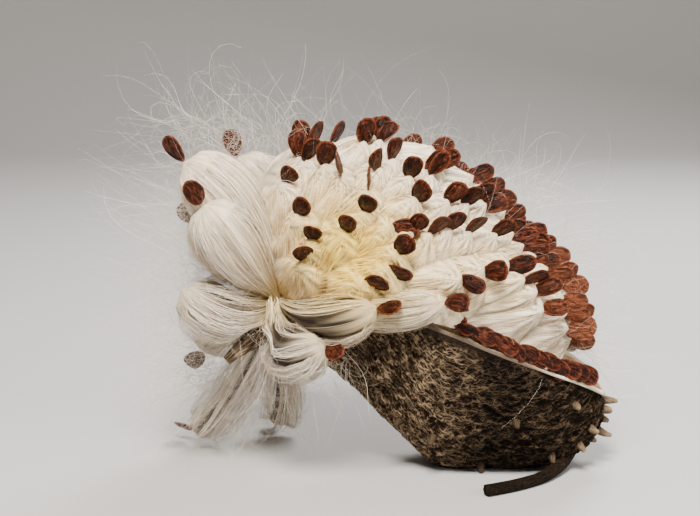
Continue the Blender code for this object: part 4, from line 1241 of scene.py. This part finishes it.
def combed_hairs(tents, tree, source):
    """Paths and outward ways of hairs that fan out from the pinch under each seed to the knot."""
    paths, outs = [], []
    shares = np.linspace(0.0, 1.0, HAIR_POINTS)[:, None]
    arch = np.sin(math.pi * shares)
    for peak, out, way, side in zip(tents.peaks, tents.out, tents.way, tents.side):
        to_knot = np.array(KNOT_FRONT if peak[1] < 0 else KNOT_BACK) - peak
        far = np.linalg.norm(to_knot)
        for _ in range(DOME_HAIRS):
            length = min(source.uniform(*DOME_HAIR_LENGTH), 0.98 * far)
            turn = source.normal(0.0, 0.8)
            fan = way * math.cos(turn) + side * math.sin(turn)
            length *= 0.55 + 0.45 * max(0.0, math.cos(turn))
            drift = side * math.sin(turn) * 0.4
            end = peak + (to_knot / far + drift) * length
            bend = peak + fan * length * 0.5
            curve = bowed(peak, bend, end, shares)
            found = [tree.find_nearest(Vector(point) * MM)[:2] for point in curve]
            path = np.array([place for place, _ in found]) / MM
            normals = np.array([normal for _, normal in found])
            normals *= np.sign(np.sum(normals * (path - DOME_MIDDLE), axis=1, keepdims=True))
            path[0] = peak - out * source.uniform(0.0, 0.8)
            for _ in range(2):
                path[1:-1] = 0.25 * path[:-2] + 0.5 * path[1:-1] + 0.25 * path[2:]
                normals[1:-1] = unit(normals[:-2] + 2 * normals[1:-1] + normals[2:])
            lift = source.uniform(0.0, HAIR_LIFT)
            paths.append(path + normals * (0.12 + lift * arch - HAIR_DIVE * shares**5))
            outs.append(normals + side * source.normal(0.0, 0.18))
    return paths, outs


def tuft_hairs(index, draw):
    """Bundled hairs that arch along a tuft from its pinch to its root, and their outward ways."""
    grid = tuft_surface(index)[0]
    middle = grid.mean(axis=1)
    bundles = [(draw.uniform(0.0, TUFT_TURNS), draw.gauss(0.0, 3.5)) for _ in range(TUFT_BUNDLES)]
    openness = TUFT_OPENNESS[index]
    paths, outs = [], []
    loose = TUFT_LOOSENESS[index]
    for _ in range(int(TUFT_HAIRS * (1 - OPEN_THINNING * openness))):
        turn, drift = draw.choice(bundles)
        turn += draw.gauss(0.0, BUNDLE_WIDTH)
        drift += draw.gauss(0.0, 0.6)
        if draw.random() > 0.3 + 0.66 * openness:
            turn, drift = draw.uniform(0.0, TUFT_TURNS), draw.gauss(0.0, 2.0)
        start = draw.uniform(0.0, 0.2) if draw.random() < 0.25 else 0.0
        end = draw.uniform(0.55, 1.0) if draw.random() < 0.3 else 1.0
        swell = 1.0 + draw.uniform(-0.16 * openness - 0.6 * loose, 0.07 + 0.1 * loose)
        roll = draw.gauss(0.0, 0.35)
        shares = 1 - np.linspace(1.0, 0.0, TUFT_HAIR_POINTS) ** 1.7
        rows = (start + (end - start) * shares) * (TUFT_RINGS - 1)
        columns = (turn + drift * shares) % TUFT_TURNS
        low = np.minimum(rows.astype(int), TUFT_RINGS - 2)
        left = columns.astype(int) % TUFT_TURNS
        right = (left + 1) % TUFT_TURNS
        down, across = (rows - low)[:, None], (columns - columns.astype(int))[:, None]
        upper = grid[low, left] * (1 - across) + grid[low, right] * across
        lower = grid[low + 1, left] * (1 - across) + grid[low + 1, right] * across
        heart = middle[low] * (1 - down) + middle[low + 1] * down
        out = upper * (1 - down) + lower * down - heart
        path = heart + out * (1 + (swell - 1) * np.sin(math.pi * shares) + 0.015)[:, None]
        path = above_floor(path, TUFT_HAIR_FLOOR)
        sideways = unit(np.cross(np.gradient(path, axis=0), out))
        paths.append(path)
        outs.append(unit(out) + sideways * roll)
    return paths, outs


def knot_cords(source):
    """Paths and outward ways of the cream fibres that run from the knot down to the beak."""
    def scattered(middle, spread):
        return np.array(middle) + source.normal(0.0, 1.0, (CORD_COUNT, 3)) * spread

    starts = scattered(CORDS_FROM, (0.9, 0.4, 0.9))
    ends = scattered(CORDS_TO, (0.9, 0.5, 1.4))
    bends = scattered((starts + ends) / 2, (0.8, 0.4, 0.6)) + (0.3, -0.8, 0.6)
    shares = np.linspace(0.0, 1.0, TUFT_HAIR_POINTS)[None, :, None]
    paths = bowed(starts[:, None], bends[:, None], ends[:, None], shares)
    return paths, np.array([0.0, -1.0, 0.3]) + source.normal(0.0, 0.3, (CORD_COUNT, 1, 3)) + paths * 0


def stray_hairs(roots, headings, lengths, bend, source):
    """Free hairs that set off along their headings and bend as they go, each in its own way."""
    roots, headings = np.array(roots, float), unit(np.array(headings, float))
    count = len(roots)
    lengths = np.array(lengths, float)
    for axis in range(3):
        way = headings[:, axis]
        room = np.where(way > 0, GREATEST_CORNER[axis] - roots[:, axis], roots[:, axis] - LEAST_CORNER[axis])
        lengths = np.minimum(lengths, np.maximum(room, 1.0) / np.maximum(np.abs(way), 0.05))
    axes = unit(source.normal(size=(count, 3)))
    rate = source.normal(0.0, bend, count)
    wave = source.normal(0.0, bend, count)
    phase = source.uniform(0.0, 6.28, count)
    path = [roots]
    for k in range(1, WISP_POINTS):
        angle = rate * (0.5 + 0.1 * k) + 0.8 * wave * np.sin(phase + 0.7 * k)
        headings = unit(headings + np.cross(axes, headings) * angle[:, None])
        path.append(path[-1] + headings * (lengths / (WISP_POINTS - 1))[:, None])
    path = np.stack(path, axis=1)
    return np.clip(path, LEAST_CORNER, GREATEST_CORNER)


def lock_hairs(source):
    """Loose hairs that run out along each lock and part towards its tip."""
    roots, headings, lengths = [], [], []
    for tip, sag in [*LOCKS, *loose_locks()]:
        tip, sag = np.array(tip, float), np.array(sag, float)
        root = tip + (np.array(DOME_MIDDLE if tip[0] > KNOT_LOCKS else KNOT) - tip) * 0.62
        count = FEW_LOCK_HAIRS if tip[2] > HIGH_LOCKS else LOCK_HAIRS
        count = LEAST_LOCK_HAIRS if tip[1] < -2.0 and tip[0] > KNOT_LOCKS else count
        spread = source.normal(0.0, 1.0, (count, 3))
        start = root + spread * 3.0
        end = tip + spread * 5.0 + source.normal(0.0, 3.0, (count, 3))
        way = end + sag * 1.5 - start
        roots.append(start)
        headings.append(way)
        lengths.append(np.linalg.norm(way, axis=1) * source.uniform(0.7, 1.1, count))
    return stray_hairs(np.concatenate(roots), np.concatenate(headings), np.concatenate(lengths), 0.34, source)


# Where free hairs start: (middle, spread, way, how far they part from it, length, bend, count).
WISP_CLOUDS = (
    ((-63.0, 0.0, 54.0), (9.0, 9.0, 16.0), (-1.0, -0.1, 0.0), 0.85, 30.0, 0.42, 560),
    ((-66.0, 8.0, 80.0), (9.0, 8.0, 8.0), (-0.9, 0.0, 0.3), 0.85, 24.0, 0.42, 150),
    ((-46.0, 12.0, 80.0), (10.0, 8.0, 5.0), (-0.5, 0.1, 0.7), 0.8, 22.0, 0.42, 110),
    ((-62.0, 8.0, 26.0), (11.0, 9.0, 9.0), (-1.0, 0.0, -0.4), 0.8, 28.0, 0.42, 480),
    ((-56.0, 10.0, 15.0), (13.0, 10.0, 8.0), (-0.8, 0.0, -0.4), 0.9, 22.0, 0.45, 330),
    ((-37.0, -21.0, 31.0), (6.0, 3.0, 3.0), (0.1, -0.2, -1.0), 0.45, 16.0, 0.35, 60),
    ((-20.0, 14.0, 76.0), (16.0, 8.0, 4.0), (0.1, 0.5, 0.8), 0.7, 18.0, 0.4, 100),
    ((8.0, 16.0, 63.0), (12.0, 8.0, 8.0), (0.6, 0.6, 0.4), 0.7, 22.0, 0.36, 150),
    ((20.0, 14.0, 44.0), (5.0, 9.0, 12.0), (1.0, 0.4, 0.0), 0.6, 25.0, 0.33, 260),
    ((26.0, 8.0, 27.0), (4.0, 8.0, 5.0), (1.0, 0.2, -0.3), 0.5, 20.0, 0.33, 110),
)


def cloud_hairs(source):
    """Free hairs that fly out round the edge of the head."""
    paths = []
    for middle, spread, way, parting, length, bend, count in WISP_CLOUDS:
        roots = np.array(middle) + np.array(spread) * source.uniform(-1.0, 1.0, (count, 3))
        headings = unit(np.array([way])) + source.normal(0.0, parting, (count, 3))
        lengths = length * source.uniform(0.45, 1.45, count)
        paths.append(stray_hairs(roots, headings, lengths, bend, source))
    return np.concatenate(paths)


def make_hairs(tents, shapes, silk_hair, tuft_hair, loose_hair):
    """All hairs: over the dome, along the tufts, at the knot, and those that fly free."""
    draw = random.Random(DRAW_SEED + 1)
    source = np.random.default_rng(DRAW_SEED)
    points, faces = shapes
    tree = BVHTree.FromPolygons((points * MM).tolist(), faces)
    paths, outs = combed_hairs(tents, tree, source)
    half = len(paths) // 2
    widths = source.uniform(*DOME_HAIR_WIDTH, len(paths))
    ribbons("floss_hairs_a", paths[:half], outs[:half], widths[:half], silk_hair)
    ribbons("floss_hairs_b", paths[half:], outs[half:], widths[half:], silk_hair)
    paths, outs = [], []
    for index in range(len(TUFTS)):
        along, ways = tuft_hairs(index, draw)
        paths += [parted(path) for path in along]
        outs += ways
    widths = source.uniform(*TUFT_HAIR_WIDTH, len(paths))
    cords, cord_outs = knot_cords(source)
    paths, outs = np.concatenate([paths, cords]), np.concatenate([outs, cord_outs])
    widths = np.concatenate([widths, source.uniform(*CORD_WIDTH, len(cords))])
    ribbons("floss_hairs_tufts", paths, outs, widths, tuft_hair)
    for name, loose in (("floss_locks", lock_hairs(source)), ("floss_wisps", cloud_hairs(source))):
        radii = source.uniform(*WISP_RADIUS, len(loose))
        thick = source.random(len(loose)) < THICK_WISPS
        radii[thick] = source.uniform(*THICK_WISP_RADIUS, thick.sum())
        strands(name, loose, radii, loose_hair)


# Seeds

SEED_TURNS = 26
SEED_FLOOR = 0.05  # the lowest that the seeds reach
# Where seeds turn redder: start and run along the pod.
OUTER_TINT, RIM_TINT = (6.0, 22.0), (23.0, 20.0)
# Seeds in the rim rows, against the others: size, tilt, how much darker, and how light their edges are.
RIM_SCALE, RIM_TILT, RIM_DARKEST, RIM_EDGES = 0.9, 0.2, 0.35, 0.9
GROOVE, MARGIN = 0.74, 0.87  # where the dark groove and the raised margin are, from the middle out


def seed_outline(turns, draw):
    """Half lengths and half widths of an ovate outline, narrow at the end that the floss hangs on."""
    narrowing = draw.uniform(0.12, 0.3)
    square = draw.uniform(0.78, 1.0)
    skew = draw.uniform(-0.16, 0.16)
    x, y = np.cos(turns), np.sin(turns)
    long = np.sign(x) * np.abs(x) ** square
    wide = np.sign(y) * np.abs(y) ** 0.92 * (1 + narrowing * x - 0.08 * x**2)
    phase = draw.uniform(0.0, 6.28)
    wave = 1 + 0.025 * np.sin(3 * turns + phase) + 0.014 * np.sin(8 * turns + 2 * phase)
    return long * SEED_LENGTH / 2 * wave, (wide * wave + skew * (1 - x**2) * 0.5) * SEED_WIDTH / 2


def seed_mesh(draw):
    """Points, faces, coat places and margin shares of one seed, narrow end at the origin."""
    turns = np.linspace(0.0, 2 * math.pi, SEED_TURNS, endpoint=False) + 1e-4
    rest = np.array([0.16, 0.36, 0.54, 0.67, GROOVE + 0.01, 0.82, MARGIN + 0.02, 0.96, 1.0])
    cup = draw.uniform(-0.5, 0.6)
    bend = draw.uniform(-0.9, 0.9)
    twist = draw.uniform(-0.25, 0.25)
    plump = draw.uniform(0.36, 0.56)
    offset = draw.uniform(0.0, 50.0)
    edge_x, edge_y = seed_outline(turns, draw)
    sheets = []
    for face in (1, -1):
        r = np.broadcast_to(rest[:, None], (len(rest), SEED_TURNS))
        x = r * edge_x + SEED_LENGTH / 2
        y = r * edge_y
        body = plump * np.clip(1 - (r / GROOVE) ** 2, 0.0, 1.0) ** 0.6
        rim = 0.2 * np.exp(-(((r - MARGIN) / 0.07) ** 2))
        skin = 0.1 * np.sqrt(np.clip(1 - r**8, 0.0, 1.0))
        folds = noise(at(x / 2.6 + offset, y / 0.62, face * 4.3), 91)
        grain = 0.21 * folds * np.clip(1 - (r / GROOVE) ** 4, 0.0, 1.0)
        pucker = 0.05 * noise(at(x / 0.9 + offset, y / 0.9, face), 92) * (1 - r**6)
        z = face * (body + rim + skin + grain + pucker)
        along, across = x / SEED_LENGTH - 0.5, y / (SEED_WIDTH / 2)
        z = z + cup * across**2 * 0.5 + bend * along**2 * 1.5 + twist * along * across * 2.0
        sheets.append(at(x, y, z))
    rows = [*sheets[0], *sheets[1][:-1][::-1]]
    count = len(rows)
    ends = np.array([sheets[0][0].mean(axis=0), sheets[1][0].mean(axis=0)])
    points = np.concatenate([np.array(rows).reshape(-1, 3), ends])
    faces = grid_faces(count, SEED_TURNS, wrap=True)
    top, bottom = len(points) - 2, len(points) - 1
    last = (count - 1) * SEED_TURNS
    for j in range(SEED_TURNS):
        following = (j + 1) % SEED_TURNS
        faces.append((top, following, j))
        faces.append((bottom, last + j, last + following))
    share = np.concatenate([rest, rest[:-1][::-1]])
    margin = np.repeat(smoothstep(GROOVE + 0.06, 0.95, share), SEED_TURNS)
    groove = np.repeat(np.exp(-(((share - GROOVE) / 0.06) ** 2)), SEED_TURNS)
    margin = np.concatenate([margin - groove, [0.0, 0.0]])
    coat = points + np.array([offset, 0.0, 0.0])
    return points, faces, coat, margin


def make_seeds(frames, rim_frames, coat_paint):
    """All seeds, each with its own small differences, redder towards the blunt end."""
    draw = random.Random(DRAW_SEED + 2)
    parts, looks = [], []
    for k, frame in enumerate([*frames, *rim_frames]):
        made, sides, coat, margin = seed_mesh(draw)
        scale = draw.uniform(0.92, 1.05)
        shade = draw.uniform(0.0, 0.12)
        start, run = OUTER_TINT
        if k >= len(frames):
            frame = frame @ Matrix.Rotation(draw.gauss(0.0, RIM_TILT), 4, "XZ"[k % 2])
            scale *= RIM_SCALE
            shade = draw.uniform(-RIM_DARKEST, 0.08)
            margin = margin * RIM_EDGES
            start, run = RIM_TINT
        turned = np.array(frame.to_3x3()) @ (made * scale).T
        parts.append((turned.T + np.array(frame.translation), sides))
        outer = smoothstep(start, start + run, frame.translation.x)
        looks.append((coat, margin, np.full(len(made), shade + 0.75 * outer)))
    points, faces = joined(parts)
    points = above_floor(points, SEED_FLOOR)
    return piece("seeds", points, faces, coat_paint, gathered(("coat", "margin", "tint"), looks))


# Stage

CAMERA_LENS = 85.0
CAMERA_AIM = (-31.25, 0.0, 53.0)
CAMERA_ELEVATION = 11.0
CAMERA_DISTANCE = 413.0
# Lights: (name, place, aim, width, power in watts, colour).
LIGHTS = (
    ("key", (-60.0, -370.0, 520.0), (-10.0, 0.0, 50.0), 170.0, 11.0, (1.0, 0.95, 0.88)),
    ("fill", (420.0, -260.0, 220.0), (-10.0, 0.0, 50.0), 300.0, 2.2, (1.0, 0.97, 0.93)),
    ("back", (160.0, 380.0, 420.0), (-20.0, 0.0, 60.0), 240.0, 5.0, (1.0, 0.98, 0.95)),
)
WORLD_GREY = 0.11
FLOOR_REACH = 6000.0
FLOOR_DROP = 0.05  # below the pod, so that the two never share a face
FLOOR_COLOUR = (0.45, 0.44, 0.43)
FLOOR_LIGHTER = 1.04  # the lightest of its faint mottling
SWEEP_START, SWEEP_RADIUS, SWEEP_STEPS, SWEEP_TOP = 600.0, 300.0, 12, 1500.0


def make_camera():
    """The camera at the photograph's viewing angle."""
    data = bpy.data.cameras.new("camera")
    data.lens = CAMERA_LENS
    data.clip_start = 0.01
    camera = bpy.data.objects.new("camera", data)
    bpy.context.scene.collection.objects.link(camera)
    lift = math.radians(CAMERA_ELEVATION)
    back = Vector((0.0, -math.cos(lift), math.sin(lift)))
    camera.location = (Vector(CAMERA_AIM) + back * CAMERA_DISTANCE) * MM
    camera.rotation_mode = "QUATERNION"
    camera.rotation_quaternion = (-back).to_track_quat("-Z", "Y")
    bpy.context.scene.camera = camera


def make_lights():
    """Soft studio light: three wide lamps and a dim grey world."""
    for name, place, aim, width, power, colour in LIGHTS:
        data = bpy.data.lights.new(name, "AREA")
        data.size = width * MM
        data.energy = power
        data.color = colour
        light = bpy.data.objects.new(name, data)
        light.location = Vector(place) * MM
        light.rotation_euler = (Vector(aim) - Vector(place)).to_track_quat("-Z", "Y").to_euler()
        bpy.context.scene.collection.objects.link(light)
    world = bpy.data.worlds.new("studio")
    world.use_nodes = True
    grey = (WORLD_GREY, WORLD_GREY, WORLD_GREY, 1.0)
    world.node_tree.nodes["Background"].inputs["Color"].default_value = grey
    bpy.context.scene.world = world


def make_floor():
    """A pale floor that sweeps up behind the pod."""
    paint = Paint("floor", 0.9)
    lighter = tuple(part * FLOOR_LIGHTER for part in FLOOR_COLOUR)
    paint.colour(paint.ramp(paint.noise(paint.place(), 6.0), (0.0, FLOOR_COLOUR), (1.0, lighter)))
    profile = [(-FLOOR_REACH, 0.0), (SWEEP_START, 0.0)]
    for turn in np.linspace(0.1, math.pi / 2, SWEEP_STEPS):
        rise = SWEEP_RADIUS - SWEEP_RADIUS * math.cos(turn)
        profile.append((SWEEP_START + SWEEP_RADIUS * math.sin(turn), rise))
    profile.append((SWEEP_START + SWEEP_RADIUS, SWEEP_TOP))
    points = [(x, y, z - FLOOR_DROP) for y, z in profile for x in (-FLOOR_REACH, FLOOR_REACH)]
    faces = [(2 * k, 2 * k + 1, 2 * k + 3, 2 * k + 2) for k in range(len(profile) - 1)]
    mesh = bpy.data.meshes.new("floor")
    mesh.from_pydata((np.array(points) * MM).tolist(), [], faces)
    mesh.shade_smooth()
    mesh.materials.append(paint.material)
    floor = bpy.data.objects.new("floor", mesh)
    bpy.context.scene.collection.objects.link(floor)


def main():
    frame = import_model()
    make_camera()
    make_lights()
    make_floor()
    bark, silk = husk_paint(), floss_paint()
    lining = ribbed_paint("husk_lining", 0.5, 0.15, 700.0, (0.36, 0.22, 0.10), (0.66, 0.48, 0.25), 0.3, 0.2)
    paper = ribbed_paint("placenta_paper", 0.65, 0.2, 900.0, (0.52, 0.37, 0.19), (0.90, 0.79, 0.56), 0.5, 0.3)
    hairs = [hair_paint(name, *shades) for name, *shades in HAIR_SHADES]
    make_husk_shell(bark, lining, lip_paint())
    make_beak(bark)
    make_stalk(bark)
    make_spines(spine_paint())
    make_placenta(paper)
    draw = random.Random(DRAW_SEED)
    dome = dome_places(draw)
    frames = [stand for _, _, stand in dome] + tuft_places(draw)
    tents = Tents(dome)
    shapes = make_dome(tents, silk)
    make_tufts(silk)
    make_hairs(tents, shapes, *hairs)
    seeds = make_seeds(frames, rim_places(), seed_paint())
    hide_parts(*[name for name in frame["nodes"] if name.startswith("seeds_")])


main()
